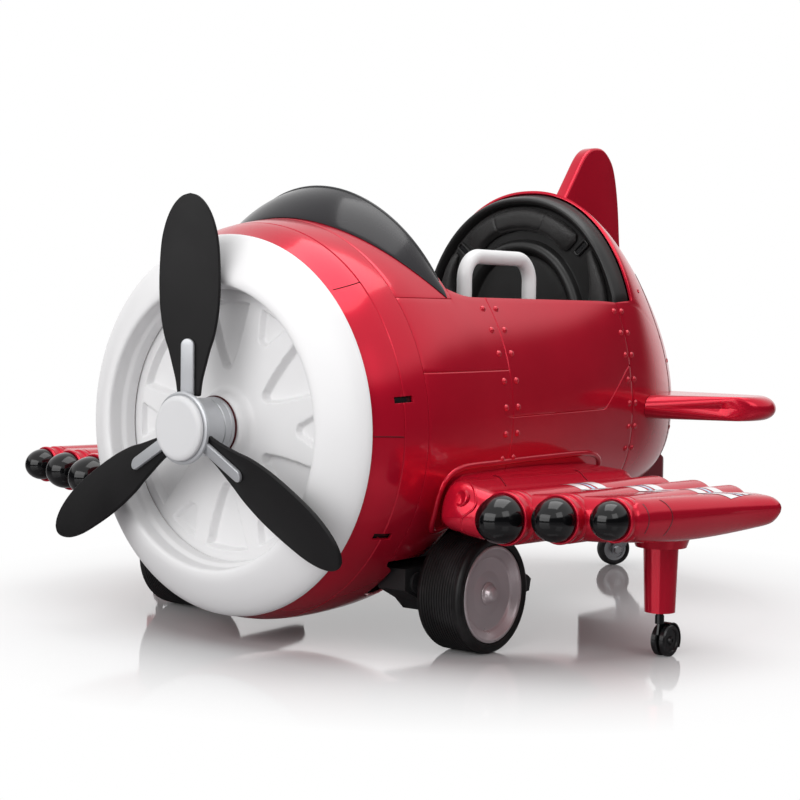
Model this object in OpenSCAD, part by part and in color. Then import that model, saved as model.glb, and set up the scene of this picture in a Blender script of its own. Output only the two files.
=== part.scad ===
// Electric ride-on toy airplane.
// X points to port, Y points from the nose to the tail, Z points up.
// The shapes are drawn with Y = 0 at the outer edge of the cowl ring, and
// placed() then moves them so that the origin lies on the floor, mid-length.

/* [Nose] */
// Radius of the white cowl ring
cowl_r = 252; // [240:1:260]
// Height of the propeller axis above the floor
axis_z = 292; // [285:1:300]
// Radius of the ring's inner lip
lip_r = 192; // [185:1:200]
// How far the inner lip stands ahead of the outer edge
lip_front = 38; // [30:1:45]
// Radius from the axis to a blade tip
blade_r = 301; // [280:1:310]
// Number of blades
blade_count = 3; // [2:1:4]

/* [Cockpit] */
// Distance from the cowl's edge to the foot of the windshield hoop
hoop_y = 206; // [200:1:212]
// Distance from the cowl's edge to the seat hoop
seat_y = 692; // [680:1:700]
// Radius of the seat hoop
seat_r = 196; // [190:1:200]
// Height of the seat hoop's centre
seat_z = 449; // [445:1:455]
// Height of the cockpit's side rim
rim_z = 466; // [460:1:470]

/* [Wings] */
// Distance from the centre line to the first engine
pod_x = 378.5; // [370:0.5:385]
// Spacing of the engines along the span
pod_pitch = 70.7; // [68:0.1:72]
// Height of the first engine
pod_z = 193; // [188:1:198]
// Distance from the centre line to the wing tip
tip_x = 602; // [590:1:605]

/* [Wheels] */
// Radius of a driven wheel
wheel_r = 78; // [75:1:80]
// Width of a driven wheel's tyre
tyre_w = 71; // [60:1:75]
// Distance from the centre line to a tyre's outer face
wheel_out = 299; // [295:1:305]
// Radius of a wing caster's wheels
caster_r = 21; // [20:0.5:22]
// Radius of the tail wheel
tail_r = 29; // [27:1:30]
// Swivel angle at which the tail caster stands
tail_turn = 34; // [0:1:90]

/* [Hidden] */

red = "#b3122b";
white = "#f2f2f2";
black = "#1b1a1c";
silver = "#b9bcc2";
smoke = "#3a3d42";
grey = "#8d8890";

mid_y = 500;          // half the length, from the cowl's edge
wall = 4;             // moulded wall
gap = 0.6;            // clearance between neighbouring mouldings
drum_seam = 90;       // seam between nose drum, hood and side shells
hood_end = 212;       // rear edge of the hood, where the cockpit opens
hood_z = 463;         // seam between the hood and the side shells
sill_z = 162;         // lower edge of the side shells
tail_end = 1032;      // rear end of the tail shell
tail_mid = 268;       // height of the tail's end
axle_y = 196;         // driven axle, behind the cowl's edge
leg_x = 471;
leg_y = 324;
tail_pivot_y = 1026;
lever_x = 162;
lever_y = 383;
lever_pivot_z = 300;
dash_y = 208;

// Fuselage sections: distance, half width, top, bottom, height of the widest line
sections = [
  [0, 249, 542, 42, 292],
  [45, 264, 560, 31, 292],
  [110, 270, 571, 29, 292],
  [180, 266, 574, 36, 294],
  [260, 257, 574, 62, 298],
  [340, 247, 576, 93, 306],
  [450, 236, 583, 104, 320],
  [560, 226, 601, 110, 338],
  [seat_y, 211, 645, 118, 362]
];

function seg(tab, y, i = 0) =
  i >= len(tab) - 2 || y < tab[i + 1][0] ? i : seg(tab, y, i + 1);
function slope(tab, i, k) =
  let (a = max(0, i - 1), b = min(len(tab) - 1, i + 1))
  (tab[b][k] - tab[a][k]) / (tab[b][0] - tab[a][0]);
function smooth(tab, y, k) =
  let (
    i = seg(tab, y),
    h = tab[i + 1][0] - tab[i][0],
    t = min(1, max(0, (y - tab[i][0]) / h)),
    m0 = slope(tab, i, k) * h,
    m1 = slope(tab, i + 1, k) * h
  )
  (2 * t^3 - 3 * t^2 + 1) * tab[i][k] + (t^3 - 2 * t^2 + t) * m0
  + (3 * t^2 - 2 * t^3) * tab[i + 1][k] + (t^3 - t^2) * m1;
function mix(a, b, t) = a + (b - a) * t;

// Behind the seat hoop the section closes along rounded laws
function along(y) = min(1, max(0, (y - seat_y) / (tail_end - seat_y)));
function half_w(y) =
  y <= seat_y ? smooth(sections, y, 1) : 211 * (1 - along(y)^1.48)^0.49;
function mid_z(y) = y <= seat_y ? smooth(sections, y, 4) : mix(362, tail_mid, along(y));
function top_z(y) =
  y <= seat_y ? smooth(sections, y, 2) : mid_z(y) + 283 * (1 - along(y)^1.67)^0.56;
function bot_z(y) =
  y <= seat_y ? smooth(sections, y, 3) : mid_z(y) - 244 * (1 - along(y)^0.85)^0.43;
// The lower half grows squarer towards the tail
function square_n(y) = 2 + 0.5 * min(1, max(0, (y - 300) / 390))^1.5;
// and the upper half a little at the seat hoop
function arch_n(y) = 2 + 0.16 * exp(-((y - seat_y) / 75)^2);

// Point of the fuselage skin at distance y and angle a, moved out by d
function skin(y, a, d = 0) =
  let (
    up = sin(a) >= 0,
    p = 2 / (up ? arch_n(y) : square_n(y)),
    h = up ? top_z(y) - mid_z(y) : mid_z(y) - bot_z(y)
  )
  [max(0, half_w(y) + d) * sign(cos(a)) * abs(cos(a))^p, y,
   mid_z(y) + max(0, h + d) * sign(sin(a)) * abs(sin(a))^p];
// Point of the skin at distance y on the ray at angle a from height c
function skin_ray(y, a, c, d = 0) =
  let (
    n = arch_n(y),
    w = half_w(y) + d,
    h = top_z(y) - mid_z(y) + d,
    r = [for (i = 0, r = 190; i < 8; r = r * (1 - 0.7 * (over_unity(r, a, c - mid_z(y), w, h, n) - 1)),
         i = i + 1) r]
  ) r[7];
function over_unity(r, a, dz, w, h, n) =
  (abs(r * cos(a) / w)^n + abs((r * sin(a) + dz) / h)^n)^(1 / n);
// Angle at which the skin passes height z, and its half width there
function skin_a(y, z, d = 0) =
  z >= mid_z(y) ? asin(min(1, (z - mid_z(y)) / (top_z(y) - mid_z(y) + d))^(arch_n(y) / 2))
  : -asin(min(1, (mid_z(y) - z) / (mid_z(y) - bot_z(y) + d))^(square_n(y) / 2));
function skin_x(y, z, d = 0) =
  (half_w(y) + d) * cos(skin_a(y, z, d))^(2 / (z >= mid_z(y) ? arch_n(y) : square_n(y)));

// Closed solid between an outer and an inner grid of points
module sheet(outer, inner, loop = false) {
  n = len(outer);
  m = len(outer[0]);
  last = loop ? m - 1 : m - 2;
  function at(k, i, j) = k * n * m + i * m + (j % m);
  function quad(a, b, c, d) = [[a, b, c], [a, c, d]];
  faces = concat(
    [for (i = [0:n - 2], j = [0:last]) each
      quad(at(0, i, j), at(0, i, j + 1), at(0, i + 1, j + 1), at(0, i + 1, j))],
    [for (i = [0:n - 2], j = [0:last]) each
      quad(at(1, i, j), at(1, i + 1, j), at(1, i + 1, j + 1), at(1, i, j + 1))],
    [for (j = [0:last]) each quad(at(0, 0, j + 1), at(0, 0, j), at(1, 0, j), at(1, 0, j + 1))],
    [for (j = [0:last]) each
      quad(at(0, n - 1, j), at(0, n - 1, j + 1), at(1, n - 1, j + 1), at(1, n - 1, j))],
    loop ? [] : [for (i = [0:n - 2]) each
      quad(at(0, i, 0), at(0, i + 1, 0), at(1, i + 1, 0), at(1, i, 0))],
    loop ? [] : [for (i = [0:n - 2]) each
      quad(at(0, i + 1, m - 1), at(0, i, m - 1), at(1, i, m - 1), at(1, i + 1, m - 1))]
  );
  points = [for (g = [outer, inner]) for (row = g) each row];
  polyhedron(points = points, faces = faces, convexity = 6);
}

// Axis of the propeller and of everything turned about it
module on_axis() translate([0, 0, axis_z]) rotate([-90, 0, 0]) children();
module placed() translate([0, -mid_y, 0]) children();
module to_starboard() mirror([1, 0, 0]) children();

// NOSE

module cowl_ring() {
  // Flat dome from the outer edge to the lip, then the stepped inner wall
  color(white) on_axis() rotate_extrude($fn = 96) polygon([
    [cowl_r, 0], [cowl_r - 3, -5.5], [cowl_r - 11, -14], [cowl_r - 24, -23.5],
    [cowl_r - 38, -31.5], [lip_r + 10, 1 - lip_front], [lip_r + 1, -lip_front],
    [lip_r - 3, 1.5 - lip_front], [lip_r - 6, 6 - lip_front], [185, -15], [181, -11],
    [179, 4], [183, 4], [185, -8], [189, -12], [190, -28], [lip_r + 3, 5 - lip_front],
    [lip_r + 10, 5 - lip_front], [cowl_r - 39, -27], [cowl_r - 26, -19], [cowl_r - 14, -9.5],
    [cowl_r - 6, 0]]);
}

// Pocket of the disc: a round inner end of radius w0, opening towards the rim
function pocket(r0, w0, r1, w1) = concat(
  [for (t = [90:22.5:270]) [r0 + w0 * cos(t), w0 * sin(t)]],
  [[r1, -w1], [r1 + 4, -w1 + 4], [r1 + 4, w1 - 4], [r1, w1]]);

module spoke_disc() {
  rays = 6;
  color(white) difference() {
    on_axis() rotate_extrude($fn = 96) polygon([
      [8.05, -20], [34, -20], [40, -17], [44.5, -11], [47, -3], [53, 1], [150, 2], [168, 3],
      [172, 5], [181, 5], [181, 13], [8.05, 13]]);
    for (k = [0:rays - 1]) {
      on_axis() rotate([0, 0, k * 360 / rays + 30]) translate([0, 0, -30])
        linear_extrude(37) polygon(pocket(83, 8, 163, 34));
      on_axis() rotate([0, 0, k * 360 / rays]) translate([0, 0, -30])
        linear_extrude(37) polygon(pocket(133, 17, 163, 26));
    }
  }
}

// Rear edge of the nose drum: below, it runs back between the wheels as a chin
function nose_rear(a) =
  let (b = a > 90 ? 180 - a : a)
  drum_seam + 24 * min(1, max(0, (-41.5 - b) / 3)) + 146 * min(1, max(0, (-57 - b) / 12))^1.3;
module nose_shell() {
  steps = 6;
  angles = concat([for (a = [-90:6:-48]) a], [-44.5, -41.5], [for (a = [-33:9:213]) a],
    [221.5, 224.5], [for (a = [228:6:264]) a]);
  function grid(d) = [for (i = [0:steps]) [for (a = angles)
    skin(0.5 + (nose_rear(a) - 0.5) * (i / steps)^1.3, a, d)]];
  color(red) sheet(grid(0), grid(-wall), loop = true);
}

// FUSELAGE

// Height of the cockpit's rim, a little higher at the hood's corner
function rim(y) =
  y < hood_end ? hood_z - gap
  : rim_z + 11 * max(0, 1 - (y - hood_end) / 60)^2 - 6 * min(1, max(0, (y - 590) / 100))^1.6;
// Lower edge of a side shell: straight, but lower ahead of the wheel arch
function low_edge(y) =
  sill_z - 39 * min(1, max(0, (194 - y) / 30))^0.8;
// Slanting seam between the side shells and the tail
function seam(z) = 642 + (453 - min(rim_z, max(sill_z, z))) * 0.267;

module side_shell_port() {
  rows = [drum_seam + gap, 128, 163, 178, 194, hood_end - 0.1, hood_end + 0.7, 232, 262, 310, 365,
          420, 480, 540, 600, 650, 691];
  cols = 12;
  function place(y, j, d) =
    let (
      a = mix(skin_a(y, low_edge(y)), skin_a(y, rim(y)), j / cols),
      end = seam(skin(y, a)[2]) - 1.2,
      w = max(0, (y - 480) / 211)^2,
      y2 = y + w * (end - 691)
    )
    skin(y2, mix(skin_a(y2, low_edge(y2)), skin_a(y2, rim(y2)), j / cols), d);
  color(red) sheet(
    [for (y = rows) [for (j = [0:cols]) place(y, j, 0)]],
    [for (y = rows) [for (j = [0:cols]) place(y, j, -wall)]]);
}

module hood() {
  rows = [drum_seam + gap, 120, 150, 181, hood_end];
  cols = 16;
  function grid(d) = [for (y = rows) let (a = skin_a(y, hood_z))
    [for (j = [0:cols]) skin(y, mix(a, 180 - a, j / cols), d)]];
  color(red) sheet(grid(0), grid(-wall));
}

module tail_shell() {
  // Below the cockpit's rim the shell starts at the slanting seam
  steps = 8;
  low = 11;
  high = 15;
  function low_a(y, j) =
    let (y2 = min(y, seat_y), a = skin_a(y2, rim(y2))) mix(-90, a, sin(90 * j / low));
  function start(j) =
    let (y1 = seam(skin(676, low_a(676, j))[2]), y2 = seam(skin(y1, low_a(y1, j))[2]))
    seam(skin(y2, low_a(y2, j))[2]) + 0.9;
  function back(a, t, y0, d) =
    mix(y0, d < 0 ? tail_end - 22 : tail_end - 1, 1 - (1 - t)^1.6);
  function half(t, d) = concat(
    [for (j = [0:low]) let (y = back(0, t, start(j), d)) skin(y, low_a(y, j), d)],
    [for (j = [0:high])
      let (y = back(0, t, seat_y, d), a = mix(low_a(seat_y, low) + 1.2, 90, j / high))
      skin(y, a, d)]);
  function hoop(t, d) =
    let (h = half(t, d), n = len(h))
    concat(h, [for (k = [n - 2:-1:1]) [-h[k][0], h[k][1], h[k][2]]]);
  color(red) sheet([for (i = [0:steps]) hoop(i / steps, 0)],
    [for (i = [0:steps]) hoop(i / steps, -wall)], loop = true);
}

module tail_keel() {
  // Rounded housing under the tail, bored for the caster's stem
  under = [for (y = [912:14:1010]) [y, bot_z(y) - 1.4]];
  side = concat(under, [[1030, 203], [1052, 201], [1070, 192], [1082, 176], [1089, 152],
    [1090, 125], [1086, 98], [1078, 86], [922, 86], [914, 94]]);
  color("#5a1420") difference() {
    intersection() {
      rotate([90, 0, 90]) linear_extrude(88, center = true) polygon(side);
      translate([0, 1000, 0]) linear_extrude(400) offset(r = 30, $fn = 48)
        square([28, 120], center = true);
    }
    translate([0, tail_pivot_y, 80]) cylinder(r = 5.05, h = 34, $fn = 48);
  }
}

module belly_pan() {
  rows = [266, 330, 390, 450, 510, 570, 630, seat_y, seam(0) - 1.6];
  cols = 12;
  function low_angle(y) = skin_a(y, sill_z) - 0.4;
  function grid(d) = [for (y = rows)
    let (a = low_angle(y))
    [for (j = [0:cols]) skin(y, mix(-180 - a, a, j / cols), d)]];
  color(black) sheet(grid(-0.5), grid(-wall - 0.5));
}

module chassis_beam() {
  color(black) {
    translate([-150, 128, 112]) cube([300, 116, 14]);
    for (s = [-1, 1]) translate([s * 152 - 8, 128, 112]) cube([16, 116, 40]);
    translate([-30, 244, 112]) cube([60, 60, 14]);
  }
}

// COCKPIT

// Smoked visor between its U-shaped foot on the hood and the leaning hoop
function hoop(t, d) =
  let (z = 397 + (219.8 + d) * cos(66 * t))
  [(211 + d) * sin(66 * t), hoop_y - 0.278 * (z - 478), z];
function foot(t) =
  skin(98 + 102 * abs(t)^2.2, 90 - (90 - skin_a(200, hood_z)) * t, 1.1);
module windshield() {
  turns = [for (k = [9:-1:-9]) k / 9];
  // Share of the way from foot to hoop, outer and inner offset
  rows = [[0, 0, -4], [0.25, 0, -4], [0.5, 0, -4], [0.75, 0, -4], [0.955, 0, -4],
          [0.96, 2, -5.5], [1, 2, -5.5]];
  function place(t, s, d0) =
    let (
      d = mix(d0, d0 < 0 ? 0.2 : 2, min(1, max(0, (abs(t) - 0.75) / 0.25))),
      p = foot(t), q = hoop(t, d), lift = 4 * sin(180 * s) * cos(66 * t)
    )
    [mix(p[0], q[0], s), mix(p[1], q[1], s) + (d0 < 0 ? 3.4 * (1 - s) : 0),
     mix(p[2], q[2], s^0.8) + lift];
  color(smoke) sheet([for (r = rows) [for (t = turns) place(t, r[0], r[1])]],
    [for (r = rows) [for (t = turns) place(t, r[0], r[2])]]);
}

module cockpit_liner() {
  // Tub: front bulkhead, footwell, riser and seat base
  // Distance, floor height, half width of the floor, offset of the inner face
  rows = [[150, 400, 128, 3.4], [156, 132, 128, 3.4], [300, 132, 128, 0], [436, 136, 112, -3],
          [440, 236, 140, -3], [550, 236, 140, 0], [655, 236, 136, 0]];
  function half(r, d) =
    let (
      y = r[0],
      x = skin_x(y, rim_z - 4, -wall - 1.4),
      z = r[1],
      f = r[2],
      z1 = min(rim_z - 60, max(z + 40, 300))
    )
    [[x - d, rim_z - 4], [x - d - 2, rim_z - 50], [mix(x, f, 0.3) - d, mix(rim_z, z, 0.6)],
     [max(f + 14, 142) - d, z + 26 + d], [f - d, z + d], [f * 0.5, z + d], [0, z + d]];
  function row(r, d) =
    let (h = half(r, d), y = r[0] + (d > 0 ? r[3] : 0))
    concat([for (p = h) [p[0], y, p[1]]], [for (k = [len(h) - 2:-1:0]) [-h[k][0], y, h[k][1]]]);
  color(black) sheet([for (r = rows) row(r, 3)], [for (r = rows) row(r, 0)]);
}

// Moulded backrest: a section of rounded ribs is led along the seat hoop's
// inside, which is an arch above and runs straight down to the seat below
back_section = [
  [0.545, 677], [0.575, 673], [0.594, 665], [0.62, 662.5], [0.642, 668], [0.66, 676],
  [0.905, 676], [0.918, 671], [0.932, 664.5], [0.95, 662], [0.966, 664.5], [0.98, 672],
  [0.988, 684], [1, 691]
];
hoop_a = [for (k = [0:24]) k * 7.5];
// The arch's feet stand a little further in, clear of the tail shell's corners
function hoop_r(a) =
  skin_ray(seat_y + 4, a, seat_z, -wall - 1.4) - 4.6 * max(0, 1 - min(a, 180 - a) / 7.5);
// The same section moved back by the moulding's thickness
function behind(i, d) =
  let (
    n = len(back_section),
    p = back_section[max(0, i - 1)],
    q = back_section[min(n - 1, i + 1)],
    t = [(q[0] - p[0]) * 187, q[1] - p[1]]
  ) back_section[i] + d * [-t[1] / 187, t[0]] / norm(t);
module backrest() {
  function arch(r, y) = concat(
    [[r * (hoop_r(0) - 5.4), y, 242]],
    [for (a = hoop_a) [r * hoop_r(a) * cos(a), y, seat_z + r * hoop_r(a) * sin(a)]],
    [[-r * (hoop_r(0) - 5.4), y, 242]]);
  back = [for (i = [0:len(back_section) - 1]) behind(i, 3.6)];
  color(black) {
    sheet([for (s = back_section) arch(s[0], s[1])], [for (s = back) arch(s[0], s[1])]);
    translate([0, 681, 0]) rotate([90, 0, 0]) linear_extrude(4)
      polygon([for (p = arch(0.556, 0)) [p[0], p[2]]]);
  }
}

module arch_pad(r0, r1, a0, a1, thick) {
  // Crowned pad along the arch, with drawn-in ends
  n = 8;
  m = 6;
  function pad(k) = [for (i = [0:n]) let (u = 2 * i / n - 1)
    [for (j = [0:m]) let (v = 2 * j / m - 1)
      let (
        a = mix(a0, a1, 0.5 + 0.5 * u * (1 - 0.08 * abs(v)^3)),
        r = mix(r0, r1, 0.5 + 0.5 * v * (1 - 0.08 * abs(u)^3)),
        crown = thick * (1 - abs(u)^4) * (1 - abs(v)^4)
      )
      [r * cos(a), 675.6 - 1.6 * k - k * crown, seat_z + r * sin(a)]]];
  sheet(pad(0), pad(1));
}

module head_pad() {
  color(black) {
    arch_pad(133, 166, 34, 60, 9);
    arch_pad(133, 166, 62, 118, 10);
    arch_pad(133, 166, 120, 146, 9);
    arch_pad(135, 165, -12, 22, 8);
    arch_pad(135, 165, 158, 192, 8);
  }
}

module seat_cushion() {
  // Crowned cushion with drawn-in sides and two sewn channels across
  n = 14;
  m = 12;
  function top(u, v) =
    let (crown = (1 - abs(u)^5) * (1 - abs(v)^5), dip = 5 * exp(-((abs(u) - 0.33) / 0.05)^2))
    30 * crown^0.5 + 6 * (1 - v * v) - dip * crown;
  function pad(k) = [for (i = [0:n]) let (u = 2 * i / n - 1)
    [for (j = [0:m]) let (v = 2 * j / m - 1)
      [v * (126 - 5 * (1 - abs(u)^2)), 548 + u * (84 - 4 * (1 - v * v)),
       k == 0 ? 240 : 248 + top(u, v)]]];
  color(black) sheet(pad(0), pad(1));
}

// Panel under the hood's rear edge, facing the seat
module dash_panel() {
  a = skin_a(hood_end, rim_z, -wall - 1.6);
  arch = concat([[195, 410], [198, rim_z - 2]],
    [for (k = [0:18]) let (p = skin(hood_end, mix(a, 180 - a, k / 18), -wall - 1.6)) [p[0], p[2]]],
    [[-198, rim_z - 2], [-195, 410]]);
  color(black) {
    translate([0, dash_y, 0]) rotate([90, 0, 0]) linear_extrude(8, center = true)
      difference() {
        polygon(arch);
        translate([-55, 500]) circle(d = 22.6, $fn = 64);
        translate([55, 500]) circle(d = 18.6, $fn = 64);
        translate([0, 500]) square([27, 35], center = true);
        translate([110, 450]) circle(d = 18.2, $fn = 64);
      }
    translate([0, dash_y, 500]) rotate([0, 90, 0]) cylinder(r = 2, h = 29, center = true, $fn = 32);
  }
}
module push_button(x, d) {
  translate([x, dash_y - 10, 500]) rotate([-90, 0, 0]) {
    cylinder(d = d, h = 18, $fn = 48);
    translate([0, 0, 18]) cylinder(d1 = d, d2 = d - 3, h = 1.5, $fn = 48);
  }
}
module start_button() color("#2f8f4e") push_button(-55, 22);
module music_button() color("#c9a227") push_button(55, 18);
module speed_rocker() {
  color(black) translate([0, dash_y, 500]) difference() {
    rotate([0, 90, 0]) linear_extrude(26, center = true)
      polygon([[-16, -8], [16, -8], [16, 5], [8, 7.5], [0, 8.5], [-8, 7.5], [-16, 5]]);
    rotate([0, 90, 0]) cylinder(r = 2.05, h = 40, center = true, $fn = 32);
  }
}
module charge_socket() {
  color(black) translate([110, dash_y, 450]) rotate([-90, 0, 0]) difference() {
    union() {
      translate([0, 0, -14]) cylinder(d = 18, h = 18.4, $fn = 48);
      translate([0, 0, 4.4]) cylinder(d = 24, h = 3, $fn = 48);
    }
    translate([0, 0, -8]) cylinder(d = 12, h = 20, $fn = 48);
  }
}

// White loop: a bent tube on a pivot boss, beside the seat
module lever_port() {
  tube = 10.5;
  half_len = 79;
  bend = 32;
  top = 524;
  color(white) translate([lever_x, lever_y, 0]) rotate([0, 0, 90]) rotate([90, 0, 0]) {
    for (s = [0, 1]) mirror([s, 0, 0]) {
      translate([half_len, 360, 0]) rotate([-90, 0, 0]) cylinder(r = tube, h = top - 360 - bend, $fn = 40);
      translate([half_len - bend, top - bend, 0]) rotate_extrude(angle = 90, $fn = 64)
        translate([bend, 0]) circle(r = tube, $fn = 40);
    }
    translate([0, top, 0]) rotate([0, 90, 0])
      cylinder(r = tube, h = 2 * (half_len - bend), center = true, $fn = 40);
    difference() {
      linear_extrude(14, center = true) polygon([
        [-half_len - 8, 376], [-half_len - 8, 358], [-40, lever_pivot_z + 18],
        [-22, lever_pivot_z - 12], [0, lever_pivot_z - 20], [22, lever_pivot_z - 12],
        [40, lever_pivot_z + 18], [half_len + 8, 358], [half_len + 8, 376]]);
      translate([0, lever_pivot_z, 0]) cylinder(r = 5.05, h = 40, center = true, $fn = 48);
    }
  }
}

module lever_mounts() {
  // Flange on the tub's wall, pivot pin and retaining cap for each lever
  color(black) for (s = [0, 1]) mirror([s, 0, 0])
    translate([lever_x, lever_y, lever_pivot_z]) rotate([0, 90, 0]) {
      translate([0, 0, 7.5]) cylinder(r = 9, h = 1.4, $fn = 48);
      translate([0, 0, -12]) cylinder(r = 5, h = 20, $fn = 48);
      translate([0, 0, -14]) cylinder(r = 8.5, h = 6.4, $fn = 48);
    }
}

// WINGS

function pod_centre(k) = [pod_x + k * pod_pitch, 101 + 11.7 * k, pod_z + 4.2 * k];
pod_rad = [34, 31, 27.5];      // engine bodies
cap_rad = [30.5, 27.5, 24];    // black caps
pod_rear = [496, 476, 440];
rise = [0.09, 0.06, 0.03];     // the engine bodies stand higher at their rear
// Plane in which the upper and the lower wing shell meet
function part_z(x, y = 110) = pod_z - 1 + (x - pod_x) * 0.0594 - (y - 110) * 0.02;

wing_out = pod_x + 2 * pod_pitch + pod_rad[2];
// Leading edge seen from above
lead = [[240, 150], [262, 128], [288, 98], [345, 99], [wing_out - 25, 130], [wing_out, 134],
        [566, 232], [583, 330], [594, 374], [tip_x, 399]];
trail = [[200, 590], [285, 562], [330, 506], [345, 500], [pod_x + pod_pitch, 458],
         [wing_out, 434], [566, 431], [583, 424], [594, 414], [tip_x, 402]];
// Half thickness above and below the parting plane
over = [[200, 50], [262, 46], [300, 44], [325, 37], [345, 31], [pod_x + pod_pitch, 27],
        [wing_out, 24], [575, 18], [tip_x, 14]];
under = [[200, 18], [262, 18], [300, 20], [318, 25], [345, 30], [400, 27],
         [pod_x + pod_pitch, 26.5], [500, 27.5], [wing_out, 25], [575, 18], [tip_x, 13]];

function pod_of(x) = [for (k = [0:2]) if (abs(x - pod_centre(k)[0]) < pod_rad[k] - 0.01) k];
function front_y(x) =
  let (k = pod_of(x))
  len(k) > 0 ? pod_centre(k[0])[1] : smooth(lead, x, 1) + (x > 345 && x < wing_out ? 8 : 0);
function rear_y(x) =
  let (k = pod_of(x))
  len(k) > 0
    ? pod_rear[k[0]] - pod_rad[k[0]]
      + pod_rad[k[0]] * sqrt(1 - ((x - pod_centre(k[0])[0]) / pod_rad[k[0]])^2)
    : smooth(trail, x, 1) - (x > 345 && x < wing_out ? 16 : 0);

// Height of the surface from the parting plane; side is 1 above, -1 below
function pod_h(x, y, side) =
  let (k = pod_of(x))
  len(k) == 0 ? 0 :
  let (
    r = pod_rad[k[0]],
    dx = x - pod_centre(k[0])[0],
    e = max(0, (y - (pod_rear[k[0]] - r)) / r),
    t = (y - pod_centre(k[0])[1]) / (pod_rear[k[0]] - pod_centre(k[0])[1])
  ) sqrt(max(0, r * r - dx * dx - r * r * e * e)) * (side > 0 ? 1 + rise[k[0]] * t : 1);
function rounded(s) = sqrt(1 - (1 - min(1, max(0, s)))^2);
function panel_h(x, y, side) =
  let (
    f = front_y(x),
    b = rear_y(x),
    t = (y - f) / max(1, b - f),
    base = smooth(side > 0 ? over : under, x, 1),
    swell = side > 0 ? 1 - (0.08 + 0.14 * min(1, max(0, (x - 449) / 98))) * t * t
      : 1 + 0.3 * sin(180 * t) * min(1, max(0, (x - 345) / 60)),
    nose = x > wing_out ? rounded((y - f + 2) / 90) : rounded((y - f + 6) / 26),
    heel = rounded((b - y + 3) / 22),
    edge = rounded((tip_x + 1 - x) / 16)
  )
  base * swell * nose * heel * edge;
function wing_h(x, y, side) = max(pod_h(x, y, side), panel_h(x, y, side), 1.2);

pod_cols = [for (k = [0:2]) each
  [for (s = [-1, -0.998, -0.62, 0, 0.62, 0.998, 1]) pod_centre(k)[0] + s * pod_rad[k]]];
wing_cols = concat([0, 266, 290, 312, 330], pod_cols,
  [wing_out + 4, 562, 576, 588, 597, tip_x - 0.5]);
wing_steps = [0, 0.02, 0.07, 0.16, 0.32, 0.52, 0.72, 0.86, 0.94, 0.98, 1];

module wing_half(side) {
  function column(x, k) =
    let (x0 = x == 0 ? 240 : x, f = front_y(x0), b = rear_y(x0))
    [for (t = wing_steps)
      let (
        y = x == 0 ? mix(152, 584, t) : mix(f, b, t),
        z0 = part_z(x0, y),
        z = z0 + side * (k == 0 ? 0.25 : wing_h(x0, y, side) + (x == 0 && side > 0 ? 6 : 0)),
        xr = x == 0 ? skin_x(y, z, 3.8) : x
      ) [xr, y, z]];
  outer = [for (x = wing_cols) column(x, 1)];
  inner = [for (x = wing_cols) column(x, 0)];
  if (side > 0) sheet(outer, inner); else sheet(inner, outer);
}
module wing_upper_port() color(red) wing_half(1);
module wing_lower_port() color(red) wing_half(-1);

module pod_caps_port() {
  color(black) for (k = [0:2]) let (c = pod_centre(k), r = cap_rad[k], long = 1.37 * r)
    translate([c[0], c[1] - 0.3, part_z(c[0])]) rotate([90, 0, 0]) rotate_extrude($fn = 64)
      polygon(concat([[0, 0], [r, 0]], [for (t = [9:9:90]) [r * cos(t), 3 + (long - 3) * sin(t)]]));
}

module wing_leg_port() {
  color(red) translate([leg_x, leg_y, 0]) difference() {
    union() {
      translate([0, 0, 60]) cylinder(r1 = 20, r2 = 22.8, h = 85, $fn = 64);
      translate([0, 0, 145]) cylinder(r1 = 33, r2 = 37, h = 11.5, $fn = 64);
    }
    translate([0, 0, 50]) cylinder(r = 5.05, h = 50, $fn = 48);
  }
}

// TAIL SURFACES

module fin() {
  // Moulded slab with bevelled edges, standing on the tail's crown
  outline = [[764, 615], [777, 632], [791, 650], [815, 681], [839, 711], [858, 725], [879, 730],
             [900, 729], [919, 718], [934, 700], [945, 668], [953, 625], [958, 578], [964, 520],
             [968, 462]];
  base = [for (y = [967:-20:787]) [y, top_z(y) + 1]];
  body = concat(outline, base);
  color(red) for (s = [0, 1]) mirror([s, 0, 0]) rotate([90, 0, 90]) {
    linear_extrude(8) polygon(body);
    translate([0, 0, 8]) linear_extrude(4) offset(delta = -4) polygon(body);
  }
}

module stabilizer_port() {
  // Thick slab with rounded edges and tip; the root follows the tail's side
  h = 19;
  across = [-1, -0.97, -0.88, -0.7, -0.35, 0, 0.35, 0.7, 0.88, 0.97, 1];
  out = [0, 0.4, 0.7, 0.86, 0.94, 0.985, 1];
  function slab(k) = [for (v = across)
    [for (t = out)
      let (
        y0 = 826 + 102 * v,
        y = mix(y0, 836 + 50 * v, t),
        ev = max(0, (abs(v) - 0.76) / 0.24),
        et = max(0, (t - 0.86) / 0.14),
        z = 301 + (k == 0 ? -1 : 1) * max(0.8, h * sqrt(max(0, 1 - ev * ev - et * et)))
      ) [mix(skin_x(y0, z, 1.2), 320 + 50 * sqrt(1 - v * v), t), y, z]]];
  color(red) sheet(slab(0), slab(1));
}

// RIVETS

module rivets_port() {
  front = [for (z = [451, 422, 390, 353, 317, 281, 247]) each [[279, z], [313, z]]];
  rear = [for (z = [451, 418, 384, 346, 309, 272, 237]) each [[seam(z) - 13, z], [seam(z) + 9, z]]];
  color(red) for (p = concat(front, rear))
    let (a = skin_a(p[0], p[1]), s = skin(p[0], a, 0.5))
    translate(s) rotate([0, 90 - a, 0]) cylinder(r1 = 3.7, r2 = 2.2, h = 2.6, $fn = 16);
}

// PROPELLER

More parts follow.
